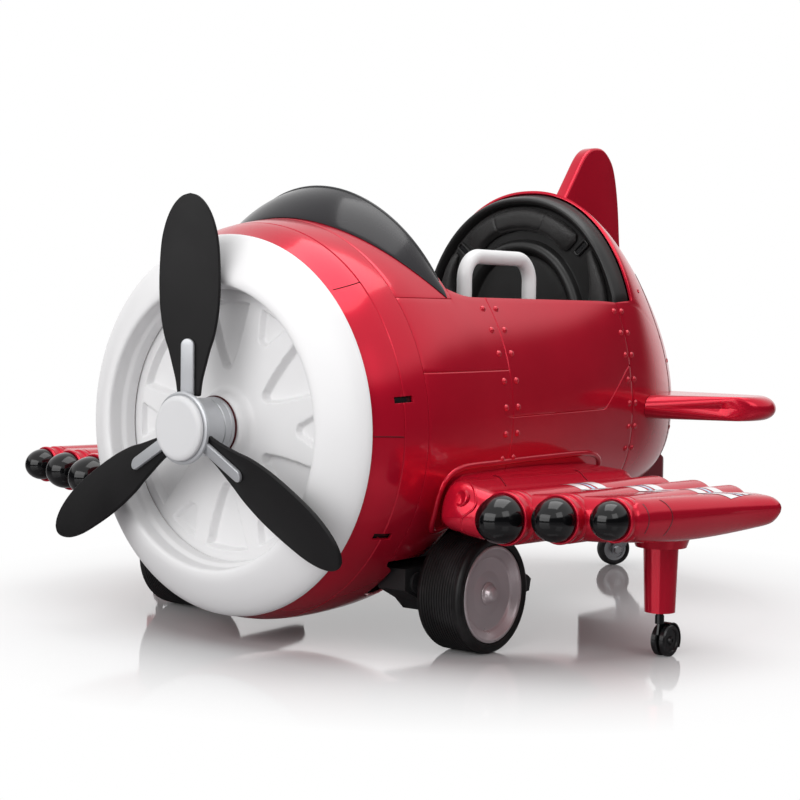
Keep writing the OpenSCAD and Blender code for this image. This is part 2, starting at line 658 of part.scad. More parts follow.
module prop_motor() {
  color(silver) on_axis() {
    translate([0, 0, 16]) cylinder(r = 26, h = 18, $fn = 64);
    translate([0, 0, 34]) cylinder(r = 18, h = 40, $fn = 64);
  }
}
module prop_shaft() color(silver) on_axis() translate([0, 0, -80]) cylinder(r = 8, h = 94, $fn = 48);
module prop_hub() {
  // Front ring, barrel and the coloured washer before the boss
  color(silver) on_axis() rotate_extrude($fn = 96) polygon([
    [8.02, -82], [45, -82], [47, -80.5], [47, -76], [38, -76], [38, -27], [38.8, -27],
    [38.8, -21.5], [8.02, -21.5]]);
}
module hub_cap() {
  color(white) on_axis() rotate_extrude($fn = 96)
    polygon([[0, -90], [37, -90], [40.5, -88], [42, -85], [42, -82.3], [0, -82.3]]);
}

// One blade: flat moulding, widest at two thirds, with a rounded tip
pitch = 21.5;
blade_half = [[34, 18.5], [60, 20.5], [80, 23.5], [100, 29], [120, 35.5], [150, 40.7], [180, 42.5],
              [210, 42], [240, 39.6], [262, 34.5], [278, 28], [290, 20], [298, 9.5]];
module blade() {
  linear_extrude(6, center = true) polygon(concat(
    [for (p = blade_half) [-p[1], p[0]]], [[0, blade_r]],
    [for (k = [len(blade_half) - 1:-1:0]) [blade_half[k][1], blade_half[k][0]]]));
}
module around_prop() for (k = [0:blade_count - 1])
  on_axis() rotate([0, 0, 180 + k * 360 / blade_count]) translate([0, 0, -67])
    rotate([0, pitch, 0]) children();
// Room for the hub's ring and barrel
module hub_room() on_axis() rotate_extrude($fn = 96) polygon([
  [0, -100], [47.3, -100], [47.3, -75.7], [38.3, -75.7], [38.3, -20], [0, -20]]);
module prop_blades() {
  color(black) difference() {
    around_prop() blade();
    hub_room();
  }
}
module blade_clamps() {
  color(silver) difference() {
    around_prop() translate([0, 0, -8.3]) {
      translate([-9, 34, 0]) cube([18, 72, 5.2]);
      translate([0, 106, 0]) cylinder(r = 9, h = 5.2, $fn = 32);
    }
    hub_room();
  }
}

// DRIVE

module at_wheel() translate([0, axle_y, wheel_r]) rotate([0, 90, 0]) children();
module wheel_axle() color(silver) at_wheel() cylinder(r = 6, h = 2 * wheel_out - 24, center = true, $fn = 48);
module gearbox_port() {
  color(black) translate([164, axle_y, wheel_r]) rotate([90, 0, 90]) difference() {
    union() {
      linear_extrude(46) polygon([[-76, 4], [-76, 32], [48, 32], [48, 0], [30, -24], [0, -33],
                                  [-22, -30], [-40, -14]]);
      translate([0, 0, 44]) linear_extrude(14)
        polygon([[30, -24], [40, 14], [100, 8], [186, -2], [196, -9], [192, -26], [180, -27]]);
      translate([0, 0, 46]) cylinder(r = 26, h = 8, $fn = 64);
      translate([-52, 12, 46]) cylinder(r = 14, h = 4, $fn = 48);
    }
    translate([0, 0, -1]) cylinder(r = 6.06, h = 80, $fn = 48);
  }
}
module drive_motors() {
  // Motors lying above the gear cases, on the chassis beam
  color(silver) for (s = [0, 1]) mirror([s, 0, 0])
    translate([60, axle_y - 76, 144]) rotate([0, 90, 0]) {
      cylinder(r = 17.5, h = 62, $fn = 64);
      translate([0, 0, 62]) cylinder(r = 8, h = 5, $fn = 32);
    }
}

module tyre_port() {
  in = wheel_out - tyre_w;
  r = wheel_r;
  color(black) at_wheel() rotate_extrude($fn = 96) polygon([
    [62, in + 6], [66, in + 2], [r - 6, in], [r - 2, in + 3], [r - 0.6, in + 8], [r, in + 16],
    [r, wheel_out - 16], [r - 0.6, wheel_out - 8], [r - 2, wheel_out - 3], [r - 6, wheel_out],
    [66, wheel_out - 1], [64.2, wheel_out - 4], [62, wheel_out - 10]]);
}
module rim_port() {
  in = wheel_out - tyre_w;
  color(grey) at_wheel() rotate_extrude($fn = 96) polygon([
    [6.06, in + 2], [24, in + 2], [24, in + 30], [58, in + 34], [58, in + 6], [61.8, in + 6],
    [61.8, wheel_out - 10], [64, wheel_out - 3.6], [63, wheel_out - 1], [60, wheel_out - 1.5],
    [48.5, wheel_out - 8], [46.5, wheel_out - 10.5], [30, wheel_out - 12], [20, wheel_out - 11],
    [6.06, wheel_out - 11]]);
}
module wheel_cap_port() {
  color(grey) at_wheel() translate([0, 0, wheel_out - 10.7]) rotate_extrude($fn = 64)
    polygon([[0, 0], [16, 0], [16, 2], [13, 3.5], [12.2, 7], [9.5, 10], [5, 11.8], [0, 12.2]]);
}

// CASTERS

caster_trail = 15;
module caster_body_port() {
  // Stem, web and a curved guard over the two wheels
  function arc(r, a0, a1) = [for (k = [0:10]) let (a = mix(a0, a1, k / 10))
    [caster_trail + r * cos(a), caster_r + r * sin(a)]];
  color(black) translate([leg_x, leg_y, 0]) difference() {
    union() {
      translate([0, 0, 44]) cylinder(r = 5, h = 50, $fn = 48);
      translate([0, 0, 44.3]) cylinder(r = 6, h = 11.2, $fn = 48);
      rotate([90, 0, 90]) translate([0, 0, -10.2]) linear_extrude(20.4)
        polygon(concat(arc(23.8, 104, -30), arc(21.8, -30, 104)));
      rotate([90, 0, 90]) translate([0, 0, -1.4]) linear_extrude(2.8)
        polygon(concat([[-5, 30], [-2, 46], [5, 44]], arc(23, 90, -20), [[caster_trail, 12], [6, 14]]));
    }
    translate([0, caster_trail, caster_r]) rotate([0, 90, 0])
      cylinder(r = 2.56, h = 60, center = true, $fn = 32);
  }
}
module caster_wheels_port() {
  color(black) translate([leg_x, leg_y + caster_trail, caster_r]) rotate([0, 90, 0]) {
    cylinder(r = 2.5, h = 20, center = true, $fn = 32);
    for (s = [0, 1]) mirror([0, 0, s]) rotate_extrude($fn = 64) polygon([
      [2.4, 1.8], [caster_r - 1.5, 1.8], [caster_r, 3.4], [caster_r, 8.6], [caster_r - 1.8, 10.4],
      [caster_r - 6, 10.4], [caster_r - 7, 8.6], [6.5, 8.6], [5.5, 11], [2.4, 11]]);
  }
}

module at_tail_pivot() translate([0, tail_pivot_y, 0]) rotate([0, 0, -tail_turn]) children();
tail_trail = 30;
module tail_fork() {
  color(black) at_tail_pivot() {
    translate([0, 0, 72]) cylinder(r = 22, h = 12.6, $fn = 64);
    translate([0, 0, 84]) cylinder(r = 5, h = 27, $fn = 48);
    difference() {
      union() for (s = [-1, 1]) translate([s * 17 - 1.5, 0, 0]) rotate([90, 0, 90])
        linear_extrude(3) polygon([[-tail_trail - 9, 22], [-tail_trail - 9, 36], [-14, 73], [14, 73],
                                   [-8, 46], [-tail_trail + 9, 22]]);
      translate([0, -tail_trail, tail_r]) rotate([0, 90, 0]) cylinder(r = 4.06, h = 60, center = true, $fn = 48);
    }
  }
}
module tail_tyre() {
  color(black) at_tail_pivot() translate([0, -tail_trail, tail_r]) rotate([0, 90, 0])
    rotate_extrude($fn = 64) polygon([[20.8, -8], [24, -11], [27.5, -9], [tail_r, -4], [tail_r, 4],
                                      [27.5, 9], [24, 11], [20.8, 8]]);
}
module tail_rim() {
  color(silver) at_tail_pivot() translate([0, -tail_trail, tail_r]) rotate([0, 90, 0]) {
    rotate_extrude($fn = 64) polygon([[3.9, -13], [8, -13], [8, -5], [16, -4], [17, -8], [20.5, -8],
      [20.5, 8], [17, 8], [16, 4], [8, 5], [8, 13], [3.9, 13]]);
    cylinder(r = 4, h = 44, center = true, $fn = 48);
    for (s = [-1, 1]) translate([0, 0, s * 21]) cylinder(r = 6.5, h = 4, center = true, $fn = 6);
  }
}

// SUPPLY

module battery() color("#2c3b52") translate([-75, 450, 122]) cube([150, 65, 95]);

placed() cowl_ring();
placed() spoke_disc();
placed() nose_shell();
placed() side_shell_port();
placed() to_starboard() side_shell_port();  // side_shell_starboard
placed() tail_shell();
placed() tail_keel();
placed() belly_pan();
placed() chassis_beam();
placed() windshield();
placed() hood();
placed() cockpit_liner();
placed() backrest();
placed() head_pad();
placed() seat_cushion();
placed() dash_panel();
placed() start_button();
placed() music_button();
placed() speed_rocker();
placed() lever_port();
placed() to_starboard() lever_port();  // lever_starboard
placed() wing_upper_port();
placed() to_starboard() wing_upper_port();  // wing_upper_starboard
placed() wing_lower_port();
placed() to_starboard() wing_lower_port();  // wing_lower_starboard
placed() pod_caps_port();
placed() to_starboard() pod_caps_port();  // pod_caps_starboard
placed() wing_leg_port();
placed() to_starboard() wing_leg_port();  // wing_leg_starboard
placed() fin();
placed() stabilizer_port();
placed() to_starboard() stabilizer_port();  // stabilizer_starboard
placed() rivets_port();
placed() to_starboard() rivets_port();  // rivets_starboard
placed() prop_motor();
placed() prop_shaft();
placed() prop_hub();
placed() hub_cap();
placed() prop_blades();
placed() blade_clamps();
placed() gearbox_port();
placed() to_starboard() gearbox_port();  // gearbox_starboard
placed() drive_motors();
placed() wheel_axle();
placed() battery();
placed() lever_mounts();
placed() charge_socket();
placed() tyre_port();
placed() rim_port();
placed() wheel_cap_port();
placed() to_starboard() tyre_port();  // tyre_starboard
placed() to_starboard() rim_port();  // rim_starboard
placed() to_starboard() wheel_cap_port();  // wheel_cap_starboard
placed() caster_body_port();
placed() caster_wheels_port();
placed() to_starboard() caster_body_port();  // caster_body_starboard
placed() to_starboard() caster_wheels_port();  // caster_wheels_starboard
placed() tail_fork();
placed() tail_tyre();
placed() tail_rim();
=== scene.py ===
# %% [markdown]
# # Electric ride-on toy airplane
# This toy is steered from its cockpit with two loop levers, while a propeller
# turns in its nose. Its working parts come from CAD. This lesson gives them
# their looks: smooth glossy mouldings, a ribbed tread, a grained seat.

# %% Load the CAD frame
from math import asin, atan2, copysign, cos, degrees, exp, hypot, pi, radians, sin, sqrt
import bpy
from mathutils import Matrix, Vector


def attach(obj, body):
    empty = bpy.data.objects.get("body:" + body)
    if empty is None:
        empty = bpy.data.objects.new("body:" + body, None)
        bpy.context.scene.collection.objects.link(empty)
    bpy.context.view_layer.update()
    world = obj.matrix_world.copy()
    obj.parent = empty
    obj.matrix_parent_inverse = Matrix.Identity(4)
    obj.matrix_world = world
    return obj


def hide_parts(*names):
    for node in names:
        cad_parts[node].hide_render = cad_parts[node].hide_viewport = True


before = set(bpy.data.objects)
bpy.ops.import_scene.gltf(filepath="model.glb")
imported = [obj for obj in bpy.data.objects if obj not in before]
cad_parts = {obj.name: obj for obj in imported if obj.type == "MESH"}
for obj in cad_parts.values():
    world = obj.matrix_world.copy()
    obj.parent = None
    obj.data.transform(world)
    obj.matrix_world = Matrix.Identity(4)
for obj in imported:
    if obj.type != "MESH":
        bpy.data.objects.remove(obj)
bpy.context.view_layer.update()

# %% [markdown]
# ## Selecting and placing
# Operators act on whatever is selected, so every step first selects just one
# piece. The object was measured in millimetres, with y counted backwards from
# the edge of the nose ring; `at` turns such a point into Blender's metres.

# %% Helpers for selecting and placing
RING_EDGE = 500       # from the CAD origin forwards to the ring's edge, in mm
AXIS_Z = 292          # height of the propeller's axis
WELD = 0.00001        # vertices closer than this, in metres, become one

def only(piece):
    bpy.ops.object.select_all(action="DESELECT")
    piece.select_set(True)
    bpy.context.view_layer.objects.active = piece

def edit(piece):
    """Opens one piece in edit mode, with all of it selected."""
    only(piece)
    bpy.ops.object.mode_set(mode="EDIT")
    bpy.ops.mesh.select_all(action="SELECT")

def close():
    bpy.ops.object.mode_set(mode="OBJECT")

def at(x, y, z):
    return Vector((x, y - RING_EDGE, z)) / 1000

def behind_ring(metres):
    return metres * 1000 + RING_EDGE

bpy.ops.object.select_all(action="DESELECT")
print("ring's edge in the CAD frame:", tuple(at(0, 0, AXIS_Z)))

# %% [markdown]
# Between two values lies a share from 0 to 1. These four helpers mix by such
# a share, keep it in bounds, ease it at both ends, and list even steps.

# %% Helpers for shares
def mix(a, b, t):
    return a + (b - a) * t

def clamp(t):
    return min(1, max(0, t))

def soft_step(t):
    t = clamp(t)
    return t * t * (3 - 2 * t)

def spread(a, b, n):
    return [mix(a, b, i / n) for i in range(n + 1)]

print("a soft step:", [round(soft_step(t), 2) for t in spread(0, 1, 4)])

# %% [markdown]
# ## Walls, edges and normals
# A moulding is a skin with a wall behind it, whose edges are slightly rounded:
# Solidify and Bevel do both, and are applied at once. Before that, its faces
# have to point outwards, or the wall would grow the wrong way.

# %% Helpers for walls and edges
def face_out(piece, core):
    """Turns the faces of an open skin away from the points that core gives."""
    faces = piece.data.polygons
    if sum((p.center - core(p.center)).dot(p.normal) * p.area for p in faces) < 0:
        edit(piece)
        bpy.ops.mesh.flip_normals()
        close()

def outward(piece):
    """Merges doubles and turns a closed piece's faces outwards."""
    edit(piece)
    bpy.ops.mesh.remove_doubles(threshold=WELD)
    bpy.ops.mesh.normals_make_consistent(inside=False)
    close()

def applied(piece, kind, **settings):
    """Adds a modifier with these settings and applies it."""
    only(piece)
    modifier = piece.modifiers.new("Shaping", kind)
    for name, value in settings.items():
        setattr(modifier, name, value)
    bpy.ops.object.modifier_apply(modifier="Shaping")

def shaded(piece, angle=40):
    """Smooth shading that keeps edges sharper than angle, in degrees."""
    only(piece)
    bpy.ops.object.shade_smooth_by_angle(angle=radians(angle))

def walled(piece, wall, offset=-1, even=True):
    """Gives an open skin its wall, in millimetres, towards the inside."""
    applied(piece, "SOLIDIFY", thickness=wall / 1000, offset=offset, use_even_offset=even)

def softened(piece, width, segments=3, angle=50):
    """Rounds the sharp edges and shades the rest smooth."""
    applied(piece, "BEVEL", width=width / 1000, segments=segments, limit_method="ANGLE",
            angle_limit=radians(angle), harden_normals=False)
    shaded(piece)

# %% [markdown]
# ## Handing a piece over
# Every new piece gets a material, rides on a body of the CAD model and may
# stand for CAD nodes. The toy is the same on both sides, so most pieces are
# modelled to port, mirrored, and handed over as a pair.

# %% Helpers for handing over
def fit(piece, finish, body="airframe", stands_for=()):
    """Dresses a finished piece and hands it to its body."""
    piece.data.materials.clear()
    piece.data.materials.append(finish)
    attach(piece, body)
    if stands_for:
        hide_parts(*stands_for)
    print(piece.name, "faces:", len(piece.data.polygons), "on", body)

def twin(piece):
    """A mirrored copy with its own mesh, for the starboard side."""
    only(piece)
    bpy.ops.object.duplicate()
    copy = bpy.context.object
    copy.name = copy.data.name = piece.name.replace("left", "right")
    edit(copy)
    bpy.ops.transform.resize(value=(-1, 1, 1), center_override=(0, 0, 0))
    bpy.ops.mesh.flip_normals()
    close()
    return copy

def fit_pair(piece, finish, body="airframe", node=""):
    """Fits a port piece and its twin; node is the first part of both nodes' names."""
    for each, side in ((piece, "port"), (twin(piece), "starboard")):
        fit(each, finish, body.replace("port", side), [f"{node}_{side}"] if node else ())

def joined(pieces, name):
    bpy.ops.object.select_all(action="DESELECT")
    for piece in pieces:
        piece.select_set(True)
    bpy.context.view_layer.objects.active = pieces[0]
    bpy.ops.object.join()
    piece = bpy.context.object
    piece.name = piece.data.name = name
    return piece

# %% [markdown]
# ## Three ways to a shape
# Round parts are turned: a profile is drawn point by point, then spun about
# its axis. Mouldings are a grid that is pulled over a law, as a vacuum former
# pulls a sheet over a mould. Flat parts are an outline pulled to a thickness.

# %% Turned parts
def chain(points, name):
    """Extrudes one vertex along the points, and stays in edit mode."""
    bpy.ops.object.select_all(action="DESELECT")
    bpy.ops.mesh.primitive_plane_add(size=0.001, location=(0, 0, 0))
    piece = bpy.context.object
    piece.name = piece.data.name = name
    edit(piece)
    bpy.ops.mesh.merge(type="CENTER")
    bpy.ops.transform.translate(value=points[0])
    for a, b in zip(points, points[1:]):
        bpy.ops.mesh.extrude_region_move(TRANSFORM_OT_translate={"value": b - a})
    return piece

def turned(name, profile, centre, axis=(0, 1, 0), steps=128, closed=False):
    """Spins a profile of (radius, distance along the axis) about the axis."""
    axis = Vector(axis).normalized()
    side = axis.orthogonal().normalized()
    points = [centre + side * (r / 1000) + axis * (d / 1000) for r, d in profile]
    piece = chain(points + points[:1] if closed else points, name)
    bpy.ops.mesh.select_all(action="SELECT")
    bpy.ops.mesh.spin(steps=steps, angle=2 * pi, center=centre, axis=axis)
    close()
    outward(piece)
    shaded(piece)
    return piece

# %% [markdown]
# A profile is given by its corners. Where an edge is soft, a short curve takes
# the corner's place; where a surface flows, one smooth curve runs through all
# the points.

# %% Soft profiles
def rounded(corners, radius, closed=False, n=4):
    """Rounds the corners of a profile; radius is one number or one for each."""
    out, count = [], len(corners)
    for i, corner in enumerate(corners):
        r = radius[i] if isinstance(radius, (list, tuple)) else radius
        p = Vector(corner)
        if (not closed and i in (0, count - 1)) or r == 0:
            out.append(tuple(p))
            continue
        a, b = Vector(corners[i - 1]), Vector(corners[(i + 1) % count])
        ra, rb = min(r, (a - p).length * 0.48), min(r, (b - p).length * 0.48)
        a, b = p + (a - p).normalized() * ra, p + (b - p).normalized() * rb
        for t in spread(0, 1, n):
            out.append(tuple(a * (1 - t) ** 2 + p * 2 * t * (1 - t) + b * t * t))
    return out

def flowing(points, n):
    """A smooth run of n steps between each two points."""
    out = []
    for i in range(len(points) - 1):
        p = [Vector(points[min(len(points) - 1, max(0, i + k))]) for k in (-1, 0, 1, 2)]
        for k in range(n):
            t = k / n
            out.append(tuple(0.5 * (2 * p[1] + (p[2] - p[0]) * t
                             + (2 * p[0] - 5 * p[1] + 4 * p[2] - p[3]) * t ** 2
                             + (3 * p[1] - p[0] - 3 * p[2] + p[3]) * t ** 3)))
    return out + [tuple(points[-1])]

print("a rounded square:", len(rounded([(0, 0), (1, 0), (1, 1), (0, 1)], 0.2, True)), "points")

# %% [markdown]
# A grid's vertices are moved one by one to where the law puts them. Where the
# law brings some together, as at a pole, they are merged.

# %% Grids, slabs and bars
def wrapped(name, us, vs, place):
    """Pulls a grid over a law: place(u, v) gives each vertex in millimetres."""
    bpy.ops.object.select_all(action="DESELECT")
    bpy.ops.mesh.primitive_grid_add(x_subdivisions=len(us) - 1, y_subdivisions=len(vs) - 1,
                                    size=2)
    piece = bpy.context.object
    piece.name = piece.data.name = name
    for v in piece.data.vertices:
        i = round((v.co.x + 1) / 2 * (len(us) - 1))
        j = round((v.co.y + 1) / 2 * (len(vs) - 1))
        v.co = at(*place(us[i], vs[j]))
    edit(piece)
    bpy.ops.mesh.remove_doubles(threshold=WELD)
    close()
    return piece

def slab(name, outline, pull):
    """Fills a closed outline of points and pulls it to a thickness."""
    piece = chain(outline, name)
    bpy.ops.mesh.select_all(action="SELECT")
    bpy.ops.mesh.edge_face_add()
    bpy.ops.mesh.extrude_region_move(TRANSFORM_OT_translate={"value": pull})
    close()
    outward(piece)
    return piece

def tube(name, points, radius, sides=12):
    """A round bar along a row of points in metres."""
    curve = bpy.data.curves.new(name, "CURVE")
    curve.dimensions, curve.bevel_depth = "3D", radius / 1000
    curve.bevel_resolution, curve.use_fill_caps = sides // 4, True
    line = curve.splines.new("POLY")
    line.points.add(len(points) - 1)
    for spot, p in zip(line.points, points):
        spot.co = (*p, 1)
    piece = bpy.data.objects.new(name, curve)
    bpy.context.scene.collection.objects.link(piece)
    only(piece)
    bpy.ops.object.convert(target="MESH")
    piece = bpy.context.object
    shaded(piece, 60)
    return piece

# %% [markdown]
# ## Materials from nodes
# Moulded plastic is never one flat colour: it has a faint cloudiness, a soft
# orange-peel ripple under its gloss and small changes of sheen. Each finish is
# built from noise on the piece's own coordinates, so it stays on the surface.

# %% Helpers for materials
def finish_named(name, slot):
    stuff = bpy.data.materials.new(name)
    stuff.use_nodes = True
    stuff["record_slot"] = slot
    return stuff, stuff.node_tree.nodes, stuff.node_tree.links

def noise(stuff, scale, detail=3.0):
    nodes, links = stuff.node_tree.nodes, stuff.node_tree.links
    where, texture = nodes.new("ShaderNodeTexCoord"), nodes.new("ShaderNodeTexNoise")
    texture.inputs["Scale"].default_value = scale
    texture.inputs["Detail"].default_value = detail
    links.new(where.outputs["Object"], texture.inputs["Vector"])
    return texture.outputs["Fac"]

def ranged(stuff, value, low, high, start=0.3, end=0.7, ease="LINEAR"):
    """Stretches what lies between start and end to run from low to high."""
    nodes, links = stuff.node_tree.nodes, stuff.node_tree.links
    span = nodes.new("ShaderNodeMapRange")
    span.interpolation_type = ease
    links.new(value, span.inputs["Value"])
    for socket, number in zip(("From Min", "From Max", "To Min", "To Max"),
                              (start, end, low, high)):
        span.inputs[socket].default_value = number
    return span.outputs["Result"]

def two_tones(stuff, value, first, second):
    nodes, links = stuff.node_tree.nodes, stuff.node_tree.links
    blend = nodes.new("ShaderNodeMix")
    blend.data_type = "RGBA"
    links.new(value, blend.inputs["Factor"])
    for socket, colour in (("A", first), ("B", second)):
        blend.inputs[socket].default_value = (*colour, 1)
    return blend.outputs["Result"]

def ripple(stuff, heights, strength, depth):
    """Relief without geometry, as deep as depth in millimetres."""
    nodes, links = stuff.node_tree.nodes, stuff.node_tree.links
    bump = nodes.new("ShaderNodeBump")
    bump.inputs["Strength"].default_value = strength
    bump.inputs["Distance"].default_value = depth / 1000
    links.new(heights, bump.inputs["Height"])
    links.new(bump.outputs["Normal"], nodes["Principled BSDF"].inputs["Normal"])

# %% [markdown]
# One recipe serves all plastics and paints. Cloud is how far its colour
# wanders, uneven how far its sheen does; grain is the ripple's fineness and
# relief its strength. Coat is a clear lacquer, metal the share of flakes.

# %% Plastic and paint
def plastic(name, colour, rough, slot="", coat=0.0, grain=900, relief=0.15, cloud=0.06,
            metal=0.0, shine=0.4, uneven=0.12):
    """Moulded plastic or paint: cloudy colour, uneven sheen, fine relief."""
    stuff, nodes, links = finish_named(name, slot or name)
    shader = nodes["Principled BSDF"]
    darker = tuple(c * (1 - 2 * cloud) for c in colour)
    lighter = tuple(min(1, c * (1 + cloud)) for c in colour)
    tones = two_tones(stuff, ranged(stuff, noise(stuff, 7), 0, 1), darker, lighter)
    links.new(tones, shader.inputs["Base Color"])
    links.new(ranged(stuff, noise(stuff, 14), rough * (1 - uneven), rough * (1 + uneven)),
              shader.inputs["Roughness"])
    shader.inputs["Metallic"].default_value = metal
    shader.inputs["Specular IOR Level"].default_value = shine
    shader.inputs["Coat Weight"].default_value = coat
    shader.inputs["Coat Roughness"].default_value = 0.08
    ripple(stuff, noise(stuff, grain, 2), relief, 0.3)
    return stuff

# %% [markdown]
# ## The finishes of this toy
# The red mouldings have a candy paint: metal flakes under a red lacquer tint
# the reflections, so the shader is partly metallic. White ones are plainer.
# Blades and frame parts are matt with a fine spark-eroded grain. Rubber is
# dull, with dust in patches, and the hub is painted silver.

# %% Finishes
red_gloss = plastic("red_gloss", (0.56, 0.008, 0.030), 0.22, coat=0.4, grain=160,
                    relief=0.015, cloud=0.04, metal=0.45, shine=0.05, uneven=0.06)
# This dark red also dresses the tail keel; on the wing's creases it is painted shade.
red_dark = plastic("red_dark", (0.13, 0.006, 0.014), 0.3, "dark_red", coat=0.3, grain=220,
                   relief=0.05)
# Painted shade: a near-black for the shade in gaps between mouldings and behind the hub.
gap_shade = plastic("gap_shade", (0.06, 0.002, 0.005), 0.5, "red_gloss", shine=0.2)
rivet_paint = plastic("rivet_paint", (0.56, 0.016, 0.036), 0.22, "rivet_metal", grain=700,
                      metal=0.4, coat=0.3)
white_gloss = plastic("white_gloss", (0.78, 0.775, 0.78), 0.36, coat=0.1, grain=160,
                      relief=0.02, cloud=0.006, shine=0.3, uneven=0.05)
cap_white = plastic("cap_white", (0.64, 0.64, 0.65), 0.5, "white_gloss", relief=0.06,
                    cloud=0.01, shine=0.3)
black_gloss = plastic("black_gloss", (0.003, 0.003, 0.0035), 0.12, coat=0.3, grain=90,
                      relief=0.01, shine=0.25, uneven=0.05)
black_matt = plastic("black_matt", (0.016, 0.016, 0.017), 0.5, grain=1500, relief=0.35,
                     cloud=0.15)
# Black trim; on the slot cups and the belt slot plates it is painted shade.
trim_black = plastic("trim_black", (0.010, 0.010, 0.011), 0.25, "black_matt", grain=1200)
blade_black = plastic("blade_black", (0.007, 0.0065, 0.007), 0.46, grain=1800, relief=0.3,
                      cloud=0.12, shine=0.18)
seat_plastic = plastic("seat_plastic", (0.014, 0.0135, 0.0135), 0.36, grain=1300, relief=0.25,
                       cloud=0.15)
silver_paint = plastic("silver_paint", (0.50, 0.51, 0.53), 0.34, grain=1400, relief=0.12,
                       cloud=0.05, metal=0.45)
grey_rim = plastic("grey_rim", (0.60, 0.53, 0.55), 0.3, grain=700, relief=0.10, metal=0.5)

# %% [markdown]
# A few small parts have finishes of their own: the steel of the motors and
# axles, the zinc-plated fork, the battery's case, two coloured buttons, and
# the stripes' foil.

# %% Finishes of small parts
steel = plastic("steel", (0.52, 0.53, 0.55), 0.3, grain=1600, relief=0.2, metal=1.0)
zinc = plastic("zinc", (0.62, 0.63, 0.66), 0.2, "steel_plated", grain=600, relief=0.12,
               metal=1.0)
battery_case = plastic("battery_case", (0.02, 0.035, 0.07), 0.45, grain=1200, relief=0.3)
green_gloss = plastic("green_gloss", (0.02, 0.25, 0.07), 0.2, coat=0.5)
amber_gloss = plastic("amber_gloss", (0.62, 0.34, 0.02), 0.2, coat=0.5)
sticker_white = plastic("sticker_white", (0.80, 0.80, 0.81), 0.2, "white_gloss", coat=0.5,
                        relief=0.03, cloud=0.01)
sticker_blue = plastic("sticker_blue", (0.42, 0.60, 0.80), 0.2, "white_gloss", coat=0.5,
                       relief=0.03)
print("plastics and paints:", len([m for m in bpy.data.materials if "record_slot" in m]))

# %% [markdown]
# Rubber is dull and holds dust in patches, so its colour runs between nearly
# black and a dusty grey, over a fine pitting.

# %% Rubber
def rubber(name, colour, rough):
    stuff, nodes, links = finish_named(name, name)
    shader = nodes["Principled BSDF"]
    dusty = tuple(c * 2.4 + 0.006 for c in colour)
    patches = ranged(stuff, noise(stuff, 26, 8), 0, 1, 0.48, 0.8)
    links.new(two_tones(stuff, patches, colour, dusty), shader.inputs["Base Color"])
    links.new(ranged(stuff, noise(stuff, 60, 5), rough * 0.85, rough * 1.15),
              shader.inputs["Roughness"])
    shader.inputs["Specular IOR Level"].default_value = 0.3
    ripple(stuff, noise(stuff, 1200, 4), 0.35, 0.3)
    return stuff

tyre_rubber = rubber("tyre_rubber", (0.006, 0.0057, 0.006), 0.5)
caster_rubber = rubber("caster_rubber", (0.018, 0.018, 0.019), 0.45)

# %% [markdown]
# ## Leather
# Synthetic leather has a net of small wrinkled cells, softer and glossier on
# their tops than in the creases between. Voronoi cells, bent by noise, draw
# that net, and its distance to the edge gives relief, sheen and painted shade
# that darkens the creases.

# %% Leather
def leather(name, colour):
    stuff, nodes, links = finish_named(name, name)
    shader = nodes["Principled BSDF"]
    where = nodes.new("ShaderNodeTexCoord")
    bend = nodes.new("ShaderNodeVectorMath")
    bend.operation = "MULTIPLY_ADD"
    wander = nodes.new("ShaderNodeTexNoise")
    wander.inputs["Scale"].default_value = 90
    links.new(where.outputs["Object"], wander.inputs["Vector"])
    links.new(wander.outputs["Color"], bend.inputs[0])
    bend.inputs[1].default_value = (0.006, 0.006, 0.006)
    links.new(where.outputs["Object"], bend.inputs[2])
    cells = nodes.new("ShaderNodeTexVoronoi")
    cells.feature = "DISTANCE_TO_EDGE"
    cells.inputs["Scale"].default_value = 330
    links.new(bend.outputs["Vector"], cells.inputs["Vector"])
    tops = ranged(stuff, cells.outputs["Distance"], 0, 1, 0.0, 0.18)
    # The creases are painted darker than the tops: painted shade in the creases.
    links.new(two_tones(stuff, tops, tuple(c * 0.45 for c in colour), colour),
              shader.inputs["Base Color"])
    links.new(ranged(stuff, tops, 0.62, 0.40, 0, 1), shader.inputs["Roughness"])
    shader.inputs["Sheen Weight"].default_value = 0.08
    ripple(stuff, tops, 0.4, 0.5)
    return stuff

black_leather = leather("black_leather", (0.016, 0.0145, 0.0145))

# %% [markdown]
# ## Smoked sheet
# The visor is a smoked sheet: dark, glossy and barely see-through. A low share
# of transparency keeps the far edge just visible without costly refraction.

# %% Smoked sheet
smoked_visor, nodes, links = finish_named("smoked_visor", "smoked_visor")
shader = nodes["Principled BSDF"]
haze = ranged(smoked_visor, noise(smoked_visor, 5), 0, 1)
links.new(two_tones(smoked_visor, haze, (0.016, 0.015, 0.017), (0.022, 0.021, 0.024)),
          shader.inputs["Base Color"])
links.new(ranged(smoked_visor, noise(smoked_visor, 6), 0.17, 0.21), shader.inputs["Roughness"])
shader.inputs["Alpha"].default_value = 0.98
shader.inputs["Specular IOR Level"].default_value = 0.2
shader.inputs["Coat Weight"].default_value = 0.1
ripple(smoked_visor, noise(smoked_visor, 120, 1), 0.006, 0.3)
print("finishes:", len([m for m in bpy.data.materials if "record_slot" in m]))

# %% [markdown]
# ## The law of the fuselage
# The body is one loft. A few measured sections give its half width, top,
# bottom and widest height; between them a smooth curve runs. Behind the seat
# hoop the section closes to a rounded end. All shells sample this one law, so
# their seams meet.

# %% Sections of the fuselage
SEAT_Y, TAIL_END, TAIL_Z = 692, 1032, 268
